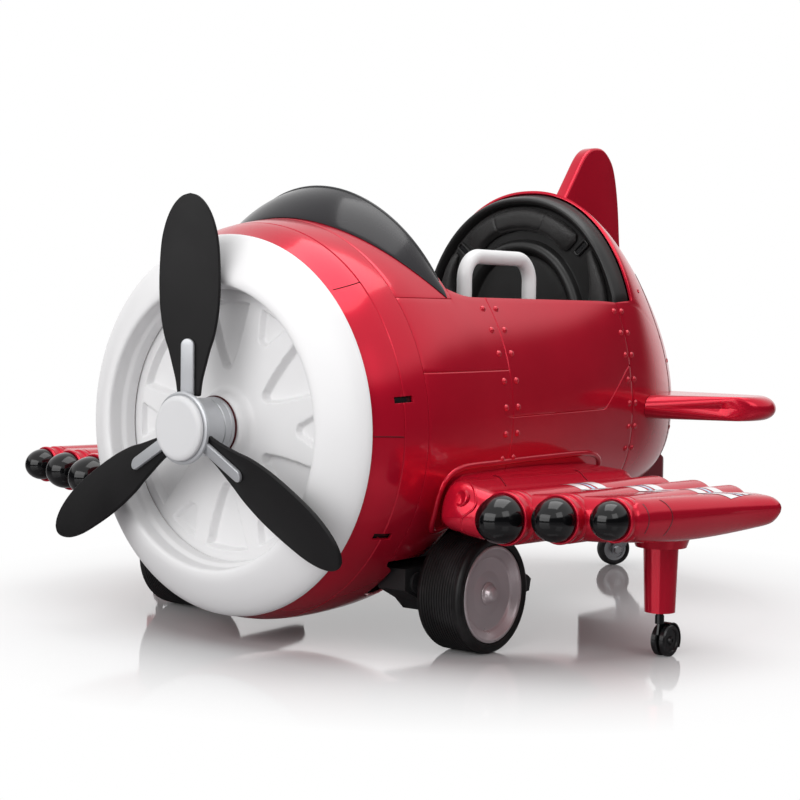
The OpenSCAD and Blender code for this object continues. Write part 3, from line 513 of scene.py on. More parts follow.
# distance, half width, top, bottom, height of the widest place
SECTIONS = [
    (0, 249, 542, 42, 292), (45, 264, 560, 31, 292), (110, 270, 571, 29, 292),
    (180, 266, 574, 36, 294), (260, 257, 574, 62, 298), (340, 247, 576, 93, 306),
    (450, 236, 583, 104, 320), (560, 226, 601, 110, 338), (SEAT_Y, 211, 645, 118, 362)]
SEAT_HALF, SEAT_TOP, SEAT_BOTTOM, SEAT_MID = SECTIONS[-1][1:]

def smooth(table, y, k):
    """Column k of a table at y, on a smooth curve through its rows."""
    i = 0
    while i < len(table) - 2 and y >= table[i + 1][0]:
        i += 1
    def slope(j):
        a, b = table[max(0, j - 1)], table[min(len(table) - 1, j + 1)]
        return (b[k] - a[k]) / (b[0] - a[0])
    h = table[i + 1][0] - table[i][0]
    t = clamp((y - table[i][0]) / h)
    return ((2 * t ** 3 - 3 * t * t + 1) * table[i][k] + (t ** 3 - 2 * t * t + t) * slope(i) * h
            + (3 * t * t - 2 * t ** 3) * table[i + 1][k] + (t ** 3 - t * t) * slope(i + 1) * h)

print("half width at the cockpit:", round(smooth(SECTIONS, 450, 1)), "mm")

# %% [markdown]
# Behind the seat each measure falls to nothing at the tail's end, in its own
# curve. The two exponents say how blunt the section is below and above.

# %% Measures along the fuselage
def along(y):
    return clamp((y - SEAT_Y) / (TAIL_END - SEAT_Y))

def half_w(y):
    if y <= SEAT_Y:
        return smooth(SECTIONS, y, 1)
    return SEAT_HALF * (1 - along(y) ** 1.48) ** 0.49

def mid_z(y):
    return smooth(SECTIONS, y, 4) if y <= SEAT_Y else mix(SEAT_MID, TAIL_Z, along(y))

def top_z(y):
    if y <= SEAT_Y:
        return smooth(SECTIONS, y, 2)
    return mid_z(y) + (SEAT_TOP - SEAT_MID) * (1 - along(y) ** 1.67) ** 0.56

def bot_z(y):
    if y <= SEAT_Y:
        return smooth(SECTIONS, y, 3)
    return mid_z(y) - (SEAT_MID - SEAT_BOTTOM) * (1 - along(y) ** 0.85) ** 0.43

def square_n(y):
    return 2 + 0.5 * clamp((y - 300) / 390) ** 1.5

def arch_n(y):
    return 2 + 0.16 * exp(-((y - SEAT_Y) / 75) ** 2)

print("hoop's top:", top_z(SEAT_Y), "mm")

# %% [markdown]
# With these measures any point of the skin follows from its distance and its
# angle about the middle: 0 is port, 90 the top. The way back, from a height
# to its angle, places seams, rivets and screws.

# %% Points of the skin
def skin(y, a, d=0):
    """Point of the skin at distance y and angle a, moved out by d."""
    s, c = sin(radians(a)), cos(radians(a))
    p = 2 / (arch_n(y) if s >= 0 else square_n(y))
    h = top_z(y) - mid_z(y) if s >= 0 else mid_z(y) - bot_z(y)
    return ((half_w(y) + d) * copysign(abs(c) ** p, c), y,
            mid_z(y) + (h + d) * copysign(abs(s) ** p, s))

def skin_a(y, z, d=0):
    """Angle at which the skin passes height z."""
    rise = z - mid_z(y)
    if rise >= 0:
        share, n = rise / (top_z(y) - mid_z(y) + d), arch_n(y)
    else:
        share, n = -rise / (mid_z(y) - bot_z(y) + d), square_n(y)
    return copysign(degrees(asin(clamp(share) ** (n / 2))), rise)

def skin_x(y, z, d=0):
    return skin(y, skin_a(y, z, d), d)[0]

def core(p):
    """A point inside the fuselage, level with p."""
    return Vector((0, p.y, mid_z(behind_ring(p.y)) / 1000))

print("widest:", 2 * half_w(110), "mm")

# %% [markdown]
# ## Nose shell
# The red drum behind the white ring. A fine panel groove runs round it, its
# rear edge sweeps back below as a chin, and two vent slots open on each side.
# Rows and columns of the grid are set at the groove and round the slots: the
# groove is real relief, and a slot is where faces are deleted before the skin
# gets its wall.

# %% Nose shell
GROOVE_Y, SWEEP_Y = 48, 70          # from the second row back, the rear edge sweeps
SLOTS = [(331.5, 339.5), (157, 165)]      # lowest and highest z of each slot

def nose_rear(a):
    """Rear edge at angle a: a step under the wing and then the chin."""
    b = 180 - a if a > 90 else a
    return 90 + 24 * clamp((-41.5 - b) / 3) + 146 * clamp((-57 - b) / 12) ** 1.3

def groove(s, width=1.3, depth=1.5):
    return -depth * max(0, 1 - abs(s) / width)

def nose_place(a, row):
    if row <= SWEEP_Y:
        return skin(row, a, groove(row - GROOVE_Y))
    return skin(mix(SWEEP_Y, nose_rear(a), row - SWEEP_Y), a)

NOSE_ROWS = [0.6, 1.0, 2.2, 5, 10, 16, 24, 34, 42, 46, 46.7, 48, 49.3, 50, 56, 64, SWEEP_Y]
NOSE_ROWS += [SWEEP_Y + t for t in spread(0, 1, 22)[1:]]
slot_edges = [skin_a(GROOVE_Y, z) for pair in SLOTS for z in pair]
slot_edges += [180 - a for a in slot_edges]
NOSE_TURN = sorted(slot_edges + [a for a in spread(-90, 270, 240)
                                 if min(abs(a - e) for e in slot_edges) > 0.7])
nose = wrapped("nose_drum", NOSE_TURN, NOSE_ROWS, nose_place)
face_out(nose, core)

# %% [markdown]
# The slots are opened while the drum is still a thin skin. The wall that it
# gets afterwards then closes round each opening by itself.

# %% Slots in the drum
def leave_out(piece, inside):
    """Deletes the faces whose centres, in the toy's millimetres, are inside."""
    edit(piece)
    bpy.ops.mesh.select_mode(type="FACE")
    bpy.ops.mesh.select_all(action="DESELECT")
    close()
    for face in piece.data.polygons:
        face.select = inside(behind_ring(face.center.y), face.center.z * 1000)
    bpy.ops.object.mode_set(mode="EDIT")
    bpy.ops.mesh.delete(type="FACE")
    bpy.ops.mesh.select_mode(type="VERT")
    close()

leave_out(nose, lambda y, z: 34 < y < 64 and any(low < z < high for low, high in SLOTS))
walled(nose, 4)
softened(nose, 0.9)
fit(nose, red_gloss, stands_for=["nose_shell"])

# %% [markdown]
# Behind each slot sits a dark cup, a shallow block just under the wall, so
# that no light from inside the shell shows through. Its black is painted
# shade, for the shade inside the shell.

# %% Slot cups
def slot_cup(name, low, high):
    a0, a1 = skin_a(GROOVE_Y, low - 2), skin_a(GROOVE_Y, high + 2)
    edge = [skin(y, a, -4.6) for y, a in ((32, a0), (66, a0), (66, a1), (32, a1))]
    inward = Vector((-cos(radians(a0)), 0, -sin(radians(a0)))) * 0.006
    return slab(name, [at(*p) for p in edge], inward)

# The cups' black is painted shade for the dark inside of the drum.
cups = joined([slot_cup(f"cup_{i}", *pair) for i, pair in enumerate(SLOTS)], "slot_cups_left")
softened(cups, 0.4, 2)
fit_pair(cups, trim_black)

# %% [markdown]
# ## Side shells
# Each side is one moulding from the drum to a slanting seam behind the seat.
# Two long panel grooves and one upright groove under the rivets are pressed
# into it. The grid's columns follow those grooves up the side.

# %% Lines of the side shells
HOOD_END, HOOD_Z, DRUM_END = 212, 463, 90.6
FRONT_SEAM, PANEL_START = 299, 288       # the upright groove; where the lower line begins
RIM_Z, SILL_Z = 466, 162                 # the cockpit's edge and the shell's lower edge

def rim(y):
    """Upper edge: level under the hood, then highest at both of its ends."""
    if y < HOOD_END:
        return HOOD_Z - 0.6
    return (RIM_Z + 11 * max(0, 1 - (y - HOOD_END) / 60) ** 2
            - 6 * clamp((y - 590) / 100) ** 1.6)

def low_edge(y):
    return SILL_Z - 39 * clamp((194 - y) / 30) ** 0.8

def seam_y(z):
    return 642 + (453 - min(RIM_Z, max(SILL_Z, z))) * 0.267

def lower_line(y):
    return 304 + 64 * clamp((y - 584) / 76)

def upper_line(y):
    return 368 + 44 * clamp((y - 400) / 260)

def side_height(y, band):
    """Bands 0 to 3 lie between the lower edge, the two grooves and the rim."""
    lines = [low_edge(y), lower_line(y), upper_line(y), rim(y)]
    i = min(2, int(band))
    return mix(lines[i], lines[i + 1], band - i)

print("seam behind the seat, top and bottom:", round(seam_y(RIM_Z)), round(seam_y(SILL_Z)))

# %% [markdown]
# Rows and bands crowd where a groove is pressed in, with one line of vertices
# at its bottom and one at each lip.

# %% Side shells
SIDE_ROWS = sorted(spread(DRUM_END, 211.4, 16) + [HOOD_END + 0.6] + spread(218, 294, 9)
                   + [FRONT_SEAM + s for s in (-2.0, -1.3, 0, 1.3, 2.0)] + spread(308, 692, 52))
SIDE_BANDS = spread(0, 0.98, 14) + [0.985, 0.9905, 1, 1.018, 1.03] + \
    [1 + t for t in spread(0.06, 0.96, 7)] + [1.97, 1.98, 2, 2.013, 2.022] + \
    [2 + t for t in spread(0.06, 1, 12)]

def side_place(y, band):
    z = side_height(y, band)
    reach = max(0, (y - 480) / (SEAT_Y - 480)) ** 2
    y += reach * (seam_y(z) - 0.6 - SEAT_Y)
    z = side_height(y, band)
    dip = groove(y - FRONT_SEAM)
    if y > PANEL_START:
        dip = min(dip, groove(z - lower_line(y)))
    if y < FRONT_SEAM:
        dip = min(dip, groove(z - upper_line(y)))
    return (skin_x(y, z) + dip, y, z)

side = wrapped("side_shell_left", SIDE_ROWS, SIDE_BANDS, side_place)
face_out(side, core)
walled(side, 4)
softened(side, 0.9)
fit_pair(side, red_gloss, node="side_shell")

# %% [markdown]
# ## Hood
# The cap between the drum and the windshield. It is a separate moulding, and
# its seam against the sides is level.

# %% Hood
def hood_place(y, t):
    a = skin_a(y, HOOD_Z)
    return skin(y, mix(a, 180 - a, t))

hood = wrapped("hood_cap", spread(DRUM_END, HOOD_END, 16), spread(0, 1, 72), hood_place)
face_out(hood, core)
walled(hood, 4)
softened(hood, 0.9)
fit(hood, red_gloss, stands_for=["hood"])

# %% [markdown]
# ## Tail shell
# Above, the tail starts at the seat hoop; below the rim it reaches forward to
# the slanting seam. It then closes to a blunt rounded end, so the rows crowd
# towards the pole, where they meet in one point.

# %% Tail shell
def tail_low(y, t):
    y2 = min(y, SEAT_Y)
    return mix(-90, skin_a(y2, rim(y2)), sin(t * pi / 2))

def tail_place(u, t):
    """u runs 0..1 up the lower part, 1..2 over the hoop, and 2..4 down again."""
    side, u = (1, u) if u <= 2 else (-1, 4 - u)
    start = SEAT_Y
    if u <= 1:
        start = 676            # a first guess, drawn step by step to the slanting seam
        for _ in range(3):
            start = seam_y(skin(start, tail_low(start, u))[2])
        start += 0.9
    y = mix(start, TAIL_END, 1 - (1 - t) ** 1.9)
    a = tail_low(y, u) if u <= 1 else mix(tail_low(SEAT_Y, 1), 90, u - 1)
    x, y, z = skin(min(y, TAIL_END - 0.001), a)
    return (side * x, y, z)

TAIL_ROUND = spread(0, 1, 30) + [1 + t for t in spread(0, 1, 40)[1:]]
TAIL_ROUND += [4 - u for u in TAIL_ROUND[::-1][1:]]
tail = wrapped("tail_shell_rear", TAIL_ROUND, spread(0, 1, 60), tail_place)
face_out(tail, core)
walled(tail, 4)
softened(tail, 0.9)
fit(tail, red_gloss, stands_for=["tail_shell"])

# %% [markdown]
# ## White cowl ring and its disc
# The ring is a turned part: a flat dome outside, a stepped wall inside.

# %% Cowl ring
AXIS = at(0, 0, AXIS_Z)
ring_face = flowing([(251.6, 0), (249, -5.5), (241, -14), (228, -23.3), (214, -31), (203, -35.8),
                     (195.5, -37.8), (190, -37.6), (187, -35), (186, -30)], 4)
ring_wall = rounded([(186, -30), (185.4, -17), (180.5, -12), (179, 3.5), (183, 3.5), (187, -10),
                     (190, -28), (203, -32), (228, -19), (246, 0)], 2)
cowl = turned("cowl_ring_smooth", ring_face + ring_wall[1:], AXIS, steps=180, closed=True)
fit(cowl, white_gloss, stands_for=["cowl_ring"])

# %% [markdown]
# The disc behind the propeller is embossed with six forked spokes. It starts
# as a polar grid, whose points sink into soft pockets: six broad ones between
# the spokes and a narrow one in the fork of each.

# %% Profile of the disc
def finer(points, start, step):
    """Splits what lies beyond radius start into pieces of about this length."""
    out = []
    for (r, y), (r2, y2) in zip(points, points[1:]):
        parts = max(1, round((r2 - r) / step)) if r > start else 1
        out += [(mix(r, r2, k / parts), mix(y, y2, k / parts)) for k in range(parts)]
    return out + [points[-1]]

DISC = finer(flowing([
    (8.1, -20), (33, -20), (38, -18.6), (42, -15), (44.6, -10), (46.6, -5), (50, -1), (56, 1.2),
    (80, 1.6), (120, 1.8), (160, 2.4), (170, 4), (176, 5), (181, 5)], 4), 60, 1.5)
# angle, inner radius, half width there and at the rim, depth
POCKETS = [(30, 84, 9, 38, 12), (0, 134, 10, 24, 8)]
POCKET_RIM, BOSS_END = 164, 58
print("rings of the disc:", len(DISC))

# %% Spoked disc
def pocket_depth(x, z):
    """How far the disc is pressed back at a point measured from its centre."""
    r, turn, deep = hypot(x, z), degrees(atan2(z, x)), 0
    for shift, r0, w0, w1, depth in POCKETS:
        a = radians((turn - shift + 30) % 60 - 30)
        p, q = r * cos(a), abs(r * sin(a))
        inside = w0 + (w1 - w0) * clamp((p - r0) / (POCKET_RIM - r0)) ** 0.8 - q
        if p < r0:
            inside = w0 - hypot(p - r0, q)
        inside = min(inside, POCKET_RIM + 1 - r)
        deep = max(deep, soft_step((inside + 1.5) / 5.5) * depth)
    return deep

def disc_place(a, row):
    r, y = DISC[row]
    x, z = r * cos(a), r * sin(a)
    return (x, y + (pocket_depth(x, z) if r > BOSS_END else 0), AXIS_Z + z)

disc = wrapped("forked_spoke_disc", spread(0, 2 * pi, 420), range(len(DISC)), disc_place)
face_out(disc, lambda p: p + Vector((0, 0.1, 0)))
walled(disc, 3)
softened(disc, 0.4, 1)
fit(disc, white_gloss, stands_for=["spoke_disc"])

# %% [markdown]
# ## Propeller
# Three blades stand on a silver hub. A blade is an outline pulled to 6 mm and
# rounded at its edges, pitched about its own length. It is modelled once and
# the other two are copies turned about the axis, as are the silver clamps.

# %% Blades and clamps
PITCH, BLADE_Y = radians(21.5), -67

def blade_point(x, y, z, k):
    """From a blade's own frame to the toy's, for blade k."""
    f = radians(180 + 120 * k)
    x, z = x * cos(PITCH) + z * sin(PITCH), z * cos(PITCH) - x * sin(PITCH) + BLADE_Y
    return at(x * cos(f) - y * sin(f), z, AXIS_Z - (x * sin(f) + y * cos(f)))

EDGE = flowing([(16, 41), (18.5, 60), (23.5, 80), (29, 100), (35.5, 120), (40.7, 150),
                (42.5, 180), (42, 210), (39.6, 240), (34.5, 262), (28, 278), (20, 290),
                (10.5, 298), (0, 301)], 4)
blade_edge = [(-w, l) for w, l in EDGE] + [(w, l) for w, l in EDGE[::-1][1:]]
clamp_edge = [(-9, 42)] + [(-9 * cos(t), 106 + 9 * sin(t)) for t in spread(0, pi, 20)] + \
    [(9, 42)]
blades, clamps = [], []
for k in range(3):
    lift = blade_point(0, 0, 3, k) - blade_point(0, 0, -3, k)
    blade = slab(f"blade_{k}", [blade_point(x, y, -3, k) for x, y in blade_edge], lift)
    softened(blade, 2.2, 4, 60)
    blades.append(blade)
    bar = slab(f"clamp_{k}", [blade_point(x, y, -8.3, k) for x, y in clamp_edge], lift * 0.88)
    softened(bar, 1.4, 3, 60)
    clamps.append(bar)
fit(joined(blades, "propeller_blades"), blade_black, "propeller", ["prop_blades"])
fit(joined(clamps, "propeller_clamps"), silver_paint, "propeller", ["blade_clamps"])

# %% [markdown]
# The hub is a drum with a waist and a ring groove, closed in front by a
# whitish cap. A dark ring of painted shade, for the shade in the gap between
# hub and disc, stands still behind it, on the disc's boss.

# %% Hub
hub = turned("propeller_hub", rounded([
    (8, -81.8), (44.6, -81.8), (47, -80.5), (47, -79.6), (45.6, -79.2), (47, -78.8), (47, -76.4),
    (44, -75), (39.6, -74), (38, -71), (38, -40), (36.6, -39.4), (36.6, -38.2), (38, -37.6),
    (38, -27.4), (38.8, -27), (38.8, -21.8), (8, -21.8)], 0.7), AXIS)
fit(hub, silver_paint, "propeller", ["prop_hub"])
# Painted shade: a dark ring for the shade in the gap behind the hub.
shade_ring = turned("hub_shade_ring", [(8.2, -21.4), (39.6, -21.4), (40.4, -20.9), (40.4, -20.3),
                               (8.2, -20.3)], AXIS, closed=True)
fit(shade_ring, gap_shade)
cap = turned("propeller_cap", rounded([(0, -90), (37, -89.6), (42, -87), (42, -82.4), (0, -82.4)],
                                      [0, 3, 3.4, 0.6, 0], n=8), AXIS)
fit(cap, cap_white, "propeller", ["hub_cap"])

# %% [markdown]
# ## Windshield
# A smoked sheet rises from a U-shaped foot on the hood to a leaning hoop. It
# is one curved grid between those two lines, with a bead of black trim along
# its free edge.

# %% Windshield
VISOR_HALF, VISOR_Z = 66, 397       # half the hoop's angle, and its centre's height

def hoop_point(t, d=0):
    a = radians(VISOR_HALF * t)
    z = VISOR_Z + (219.8 + d) * cos(a)
    return ((211 + d) * sin(a), 206 - 0.278 * (z - 478), z)

def foot_point(t):
    return skin(98 + 102 * abs(t) ** 2.2, 90 - (90 - skin_a(200, HOOD_Z)) * t, 0.8)

def visor_place(t, s):
    p, q = foot_point(t), hoop_point(t)
    lift = 4 * sin(pi * s) * cos(radians(VISOR_HALF * t))
    return (mix(p[0], q[0], s), mix(p[1], q[1], s), mix(p[2], q[2], s ** 0.8) + lift)

visor = wrapped("visor_sheet", spread(-1, 1, 96), [s ** 1.4 for s in spread(0, 1, 24)],
                visor_place)
face_out(visor, lambda p: Vector((0, p.y + 0.05, 0.4)))
walled(visor, 3.4)
softened(visor, 0.6)
fit(visor, smoked_visor, stands_for=["windshield"])
trim = tube("visor_trim", [at(*hoop_point(t, -1.8)) for t in spread(-1, 1, 96)], 3.4)
fit(trim, trim_black)

# %% [markdown]
# ## Cockpit tub
# The cockpit is lined by a black tub: a bulkhead, a floor, a riser and the
# seat base. One section, rounded in its corners, is led along that path.

# %% Cockpit tub
TUB = rounded([(150, 400), (155, 134), (300, 134), (436, 138), (440, 238), (680, 238)],
              [0, 24, 0, 20, 12, 0], n=6)

def tub_place(i, t):
    """The section runs from the port rim down, across the floor and up again."""
    y, floor = TUB[i]
    side, t = (1, 1 - 2 * t) if t <= 0.5 else (-1, 2 * t - 1)
    x, top = skin_x(min(y, SEAT_Y), 462, -5.6), 462 - 6 * clamp((y - 600) / 80)
    half = 138
    if y < 600:
        half = mix(mix(128, 112, clamp((y - 300) / 136)), 140, clamp((y - 436.5) / 3))
    line = rounded([(0, floor), (half, floor), (mix(x, half, 0.3), mix(RIM_Z, floor, 0.6)),
                    (x - 2, 420), (x, top)], [0, 34, 20, 10, 0], n=6)
    pick = t * (len(line) - 1)
    j = min(len(line) - 2, int(pick))
    x, z = [mix(a, b, pick - j) for a, b in zip(line[j], line[j + 1])]
    return (side * x, y, z)

tub = wrapped("cockpit_tub", range(len(TUB)), spread(0, 1, 92), tub_place)
face_out(tub, lambda p: Vector((0, p.y, 0.9)))
walled(tub, 3, 1)
softened(tub, 0.8)
fit(tub, black_matt, stands_for=["cockpit_liner"])

# %% [markdown]
# ## Backrest
# A moulded hoop of ribs and channels fills the arch behind the seat. Its
# section, from the middle outwards, is led round the arch and straight down to
# the seat; the middle is closed by a dished plate.

# %% Backrest
HOOP_Z, SEAT_Z = 449, 242           # the arch's centre; the backrest's foot
# share of the way out, distance
BACK = flowing([
    (0, 677), (0.2, 677), (0.4, 677.5), (0.47, 678), (0.488, 677), (0.494, 673), (0.508, 667),
    (0.53, 663.2), (0.553, 662), (0.576, 663.2), (0.598, 667), (0.610, 673), (0.616, 677),
    (0.64, 677.5), (0.8, 676.5), (0.89, 676), (0.902, 673), (0.918, 665.5), (0.94, 662),
    (0.962, 663.5), (0.98, 672), (0.99, 684), (1, 690.5)], 4)

def hoop_reach(a):
    """Radius from the hoop's centre to the inside of the tail shell, found step by step."""
    y, r, gap = SEAT_Y + 4, 190, 5.4
    w, h, n = half_w(y) - gap, top_z(y) - mid_z(y) - gap, arch_n(y)
    for _ in range(9):
        x, z = r * cos(a), r * sin(a) + HOOP_Z - mid_z(y)
        size = (abs(x / w) ** n + abs(z / h) ** n) ** (1 / n)
        r *= 1 - 0.7 * (size - 1)
    return r - 4.6 * max(0, 1 - min(a, pi - a) / radians(7.5))

LEG = [(hoop_reach(0) - 5.4 * (1 - t / 6), SEAT_Z - HOOP_Z + 207 * t / 6) for t in range(6)]
ARCH = LEG + [(hoop_reach(a) * cos(a), hoop_reach(a) * sin(a)) for a in spread(0, pi, 96)]
ARCH += [(-x, z) for x, z in LEG[::-1]]

def back_place(i, j):
    share, y = BACK[j]
    x, z = ARCH[i]
    return (share * x, y, HOOP_Z + (share * z if z > 0 else z))

back = wrapped("backrest_hoop", range(len(ARCH)), range(len(BACK)), back_place)
face_out(back, lambda p: p + Vector((0, 0.1, 0)))
walled(back, 3, even=False)
softened(back, 0.5, 2)
fit(back, seat_plastic, stands_for=["backrest"])

# %% [markdown]
# ## Padding
# Three crowned pads line the arch and one cushion covers the seat. Each starts
# a little small, is remeshed to even faces, and is blown up as cloth under
# pressure. Points may move only so far, so a pad stays in its place. The sewn
# channels come afterwards, because the remesh would erase them.

# %% Swelling a pad
def plump(piece, voxel, reach, pressure=4.0, frames=20):
    """Swells a closed pad as cloth and applies the result."""
    only(piece)
    piece.data.remesh_voxel_size = voxel / 1000
    bpy.ops.object.voxel_remesh()
    start = [v.co.copy() for v in piece.data.vertices]
    cloth = piece.modifiers.new("Swelling", "CLOTH")
    cloth.settings.use_pressure = True
    cloth.settings.uniform_pressure_force = pressure
    cloth.settings.effector_weights.gravity = 0
    cloth.settings.tension_stiffness = cloth.settings.compression_stiffness = 15
    cloth.settings.bending_stiffness = 0.5
    cloth.point_cache.frame_end = frames
    for f in range(1, frames + 1):
        bpy.context.scene.frame_set(f)
    bpy.ops.object.modifier_apply(modifier="Swelling")
    bpy.context.scene.frame_set(1)
    for v, home in zip(piece.data.vertices, start):
        step = v.co - home
        if step.length > reach / 1000:
            v.co = home + step.normalized() * reach / 1000
    applied(piece, "SMOOTH", factor=0.5, iterations=6)
    applied(piece, "SUBSURF", levels=1, render_levels=1)
    bpy.ops.object.shade_smooth()

# %% [markdown]
# A pad starts as two grids, its face and its back, whose open edges are
# bridged. The law of each grid curves the sides in a little between corners.

# %% Shaping a pad
def pad_block(name, place, nu=16, nv=10):
    """A closed crowned block: place(u, v, side) for u and v from -1 to 1."""
    piece = joined([wrapped(f"{name}_{side}", spread(-1, 1, nu), spread(-1, 1, nv),
                            lambda u, v, s=side: place(u, v, s)) for side in (1, 0)], name)
    edit(piece)
    bpy.ops.mesh.remove_doubles(threshold=WELD)
    bpy.ops.mesh.select_all(action="DESELECT")
    bpy.ops.mesh.select_mode(type="EDGE")
    bpy.ops.mesh.select_non_manifold()
    bpy.ops.mesh.bridge_edge_loops()
    bpy.ops.mesh.select_mode(type="VERT")
    close()
    outward(piece)
    return piece

def arch_pad(name, a0, a1, r0, r1, thick, taper=0.0):
    """A pad between two angles of the arch; taper raises its inner edge towards a1."""
    def place(u, v, side):
        a = radians(mix(a0, a1, 0.5 + 0.5 * u * (1 - 0.06 * abs(v) ** 3)))
        inner = r0 + taper * (0.5 + 0.5 * u) ** 1.5
        r = mix(inner, r1, 0.5 + 0.5 * v * (1 - 0.08 * abs(u) ** 5))
        crown = thick * (1 - abs(u) ** 6) * (1 - abs(v) ** 4)
        return (r * cos(a), 675 - (2.5 + crown * 0.75 if side else 0), HOOP_Z + r * sin(a))
    piece = pad_block(name, place, max(16, round(abs(a1 - a0) / 2.5)))
    plump(piece, 3.2, 4)
    return piece

# %% [markdown]
# The top pad has a sewn panel in its middle: a stitched channel that follows a
# rectangle with round corners, bent round the arch.

# %% Pads of the backrest
PAD_FACE = 672.5       # only points in front of this distance are pressed in

def sewn(v):
    """Depth of the stitched channel round the middle panel of the top pad."""
    x, z = v.co.x * 1000, v.co.z * 1000 - HOOP_Z
    r, across = hypot(x, z), abs(degrees(atan2(z, x)) - 90) * radians(150)
    dx, dz = across - 38, 143 - r
    gap = hypot(max(dx, 0), max(dz, 0)) + min(max(dx, dz), 0) - 8
    return 1.9 * exp(-(gap / 1.5) ** 2) if r > 120 else 0

top_pad = arch_pad("arch_pad_top", 46, 134, 126, 169, 9)
for v in top_pad.data.vertices:
    if behind_ring(v.co.y) < PAD_FACE:
        v.co.y += sewn(v) / 1000
side_pads = [arch_pad("arch_pad_left", -11, 37, 122, 168, 9, 32),
             arch_pad("arch_pad_right", 191, 143, 122, 168, 9, 32)]
pads = joined([top_pad] + side_pads, "arch_padding")
fit(pads, black_leather, stands_for=["head_pad"])

# %% [markdown]
# The seat cushion is one crowned pad. Two soft channels run across it, where
# the cover of such a seat is sewn down.

# %% Seat cushion
def cushion_place(u, v, side):
    crown = (1 - abs(u) ** 5) * (1 - abs(v) ** 5)
    return (v * (122 - 5 * (1 - u * u)), 548 + u * (80 - 4 * (1 - v * v)),
            247 + 26 * crown ** 0.5 + 5 * (1 - v * v) if side else 242)

cushion = pad_block("seat_pad", cushion_place, 40, 44)
plump(cushion, 5, 7)
for v in cushion.data.vertices:
    u, top = (v.co.y * 1000 - 48) / 84, v.co.z * 1000 - 255
    if top > 0:
        v.co.z -= 0.005 * clamp(top / 10) * exp(-((abs(u) - 0.33) / 0.04) ** 2)
fit(cushion, black_leather, stands_for=["seat_cushion"])

# %% [markdown]
# Between the pads sit two belt slots: a flat frame with round corners, made
# as a bar bent into a loop, with a dark plate behind it: painted shade for
# the shade inside the slot.

# %% Belt slots
def slot_frame(name, a, r, long, high):
    a, l, h = radians(a), long / 2, high / 2
    out, turn = Vector((cos(a), 0, sin(a))), Vector((-sin(a), 0, cos(a)))
    centre = Vector((0, 673.6, HOOP_Z)) + out * r
    loop = rounded([(-l, -h), (l, -h), (l, h), (-l, h)], 3.5, closed=True, n=6)
    ring = [at(*(centre + turn * u + out * v)) for u, v in loop]
    behind = [p + Vector((0, 0.0012, 0)) for p in ring]
    return (tube(name, ring + ring[:1], 1.9),
            slab(name + "_plate", behind, Vector((0, 0.0014, 0))))

frames, plates = zip(*[slot_frame(f"belt_slot_{i}", a, 153, 11, 26)
                       for i, a in enumerate((41.5, 138.5))])
fit(joined(frames, "belt_slot_frames"), seat_plastic)
# The plates' black is painted shade for the dark inside of the slots.
fit(joined(plates, "belt_slot_plates"), trim_black)

# %% [markdown]
# ## Wings
# A wing is two thick half shells that meet in a parting line, with three
# engine bodies across it. The shells are grids over a height law. Its tables
# give the front and rear edge, and the height over and under the parting
# line, each by distance from the toy's middle.

# %% Measures of the wing
# x, front, radius, rear, rise, cap radius
PODS = [(378.5, 101, 34, 496, 0.09, 30.5), (449.2, 112.7, 31, 476, 0.06, 27.5),
        (519.9, 124.4, 27.5, 440, 0.03, 24)]
WING_OUT, TIP = 547.4, 602
LEAD = [(240, 150), (262, 128), (288, 98), (345, 99), (522, 130), (WING_OUT, 134), (566, 232),
        (583, 330), (594, 374), (TIP, 399)]
TRAIL = [(200, 590), (285, 562), (330, 506), (345, 500), (449.2, 458), (WING_OUT, 434),
         (566, 431), (583, 424), (594, 414), (TIP, 402)]
OVER = [(200, 50), (262, 46), (300, 44), (325, 37), (345, 31), (449.2, 27), (WING_OUT, 24),
        (575, 20), (TIP, 17)]
UNDER = [(200, 18), (262, 18), (300, 20), (318, 25), (345, 30), (400, 27), (449.2, 26.5),
         (500, 27.5), (WING_OUT, 25), (575, 20), (TIP, 16)]
ROOT_X, FREE_X = 240, 266       # the wing starts in the body, and is free of it further out

def part_z(x, y=110):
    """Height of the parting line, which rises outwards and falls to the rear."""
    return 192 + (x - 378.5) * 0.0594 - (y - 110) * 0.02

def between_pods(x):
    return soft_step((x - 340) / 12) * soft_step((WING_OUT + 6 - x) / 12)

def wing_front(x):
    return smooth(LEAD, x, 1) + 8 * between_pods(x)

def wing_rear(x):
    return smooth(TRAIL, x, 1) - 16 * between_pods(x)

WING_EDGE = [(x, wing_front(x)) for x in spread(ROOT_X, TIP, 60)] + \
    [(x, wing_rear(x)) for x in spread(TIP, ROOT_X, 60)]
print("parting line at the root and the tip:", round(part_z(ROOT_X)), round(part_z(TIP)), "mm")

# %% [markdown]
# The height falls to nothing at the wing's outer edge, in a quarter of an
# ellipse, so the law needs the distance to that edge.

# %% Height over and under the parting line
def edge_gap(x, y):
    """Distance from a point of the wing to its outer edge, seen from above."""
    least = 1e9
    for (ax, ay), (bx, by) in zip(WING_EDGE, WING_EDGE[1:]):
        ux, uy = bx - ax, by - ay
        k = clamp(((x - ax) * ux + (y - ay) * uy) / (ux * ux + uy * uy + 1e-9))
        least = min(least, (x - ax - k * ux) ** 2 + (y - ay - k * uy) ** 2)
    return sqrt(least)

def round_off(s):
    return sqrt(1 - (1 - clamp(s)) ** 2)

def wing_h(x, y, side):
    f, b = wing_front(x), wing_rear(x)
    t = (y - f) / max(1, b - f)
    if side > 0:
        swell = 1 - (0.08 + 0.14 * clamp((x - 449) / 98)) * t * t
    else:
        swell = 1 + 0.3 * sin(pi * clamp(t)) * clamp((x - 345) / 60)
    h = smooth(OVER if side > 0 else UNDER, x, 1) * swell
    return h * round_off((edge_gap(x, y) - 0.1) / 25)

print("height over the inner pod's place:", round(wing_h(378.5, 300, 1), 1), "mm")

# %% [markdown]
# The grid has three parts: columns that lead from the body's side to the free
# wing, straight columns, and a fan that ends on the rounded outer edge. The
# rows crowd at the front and rear, where the section is roundest.

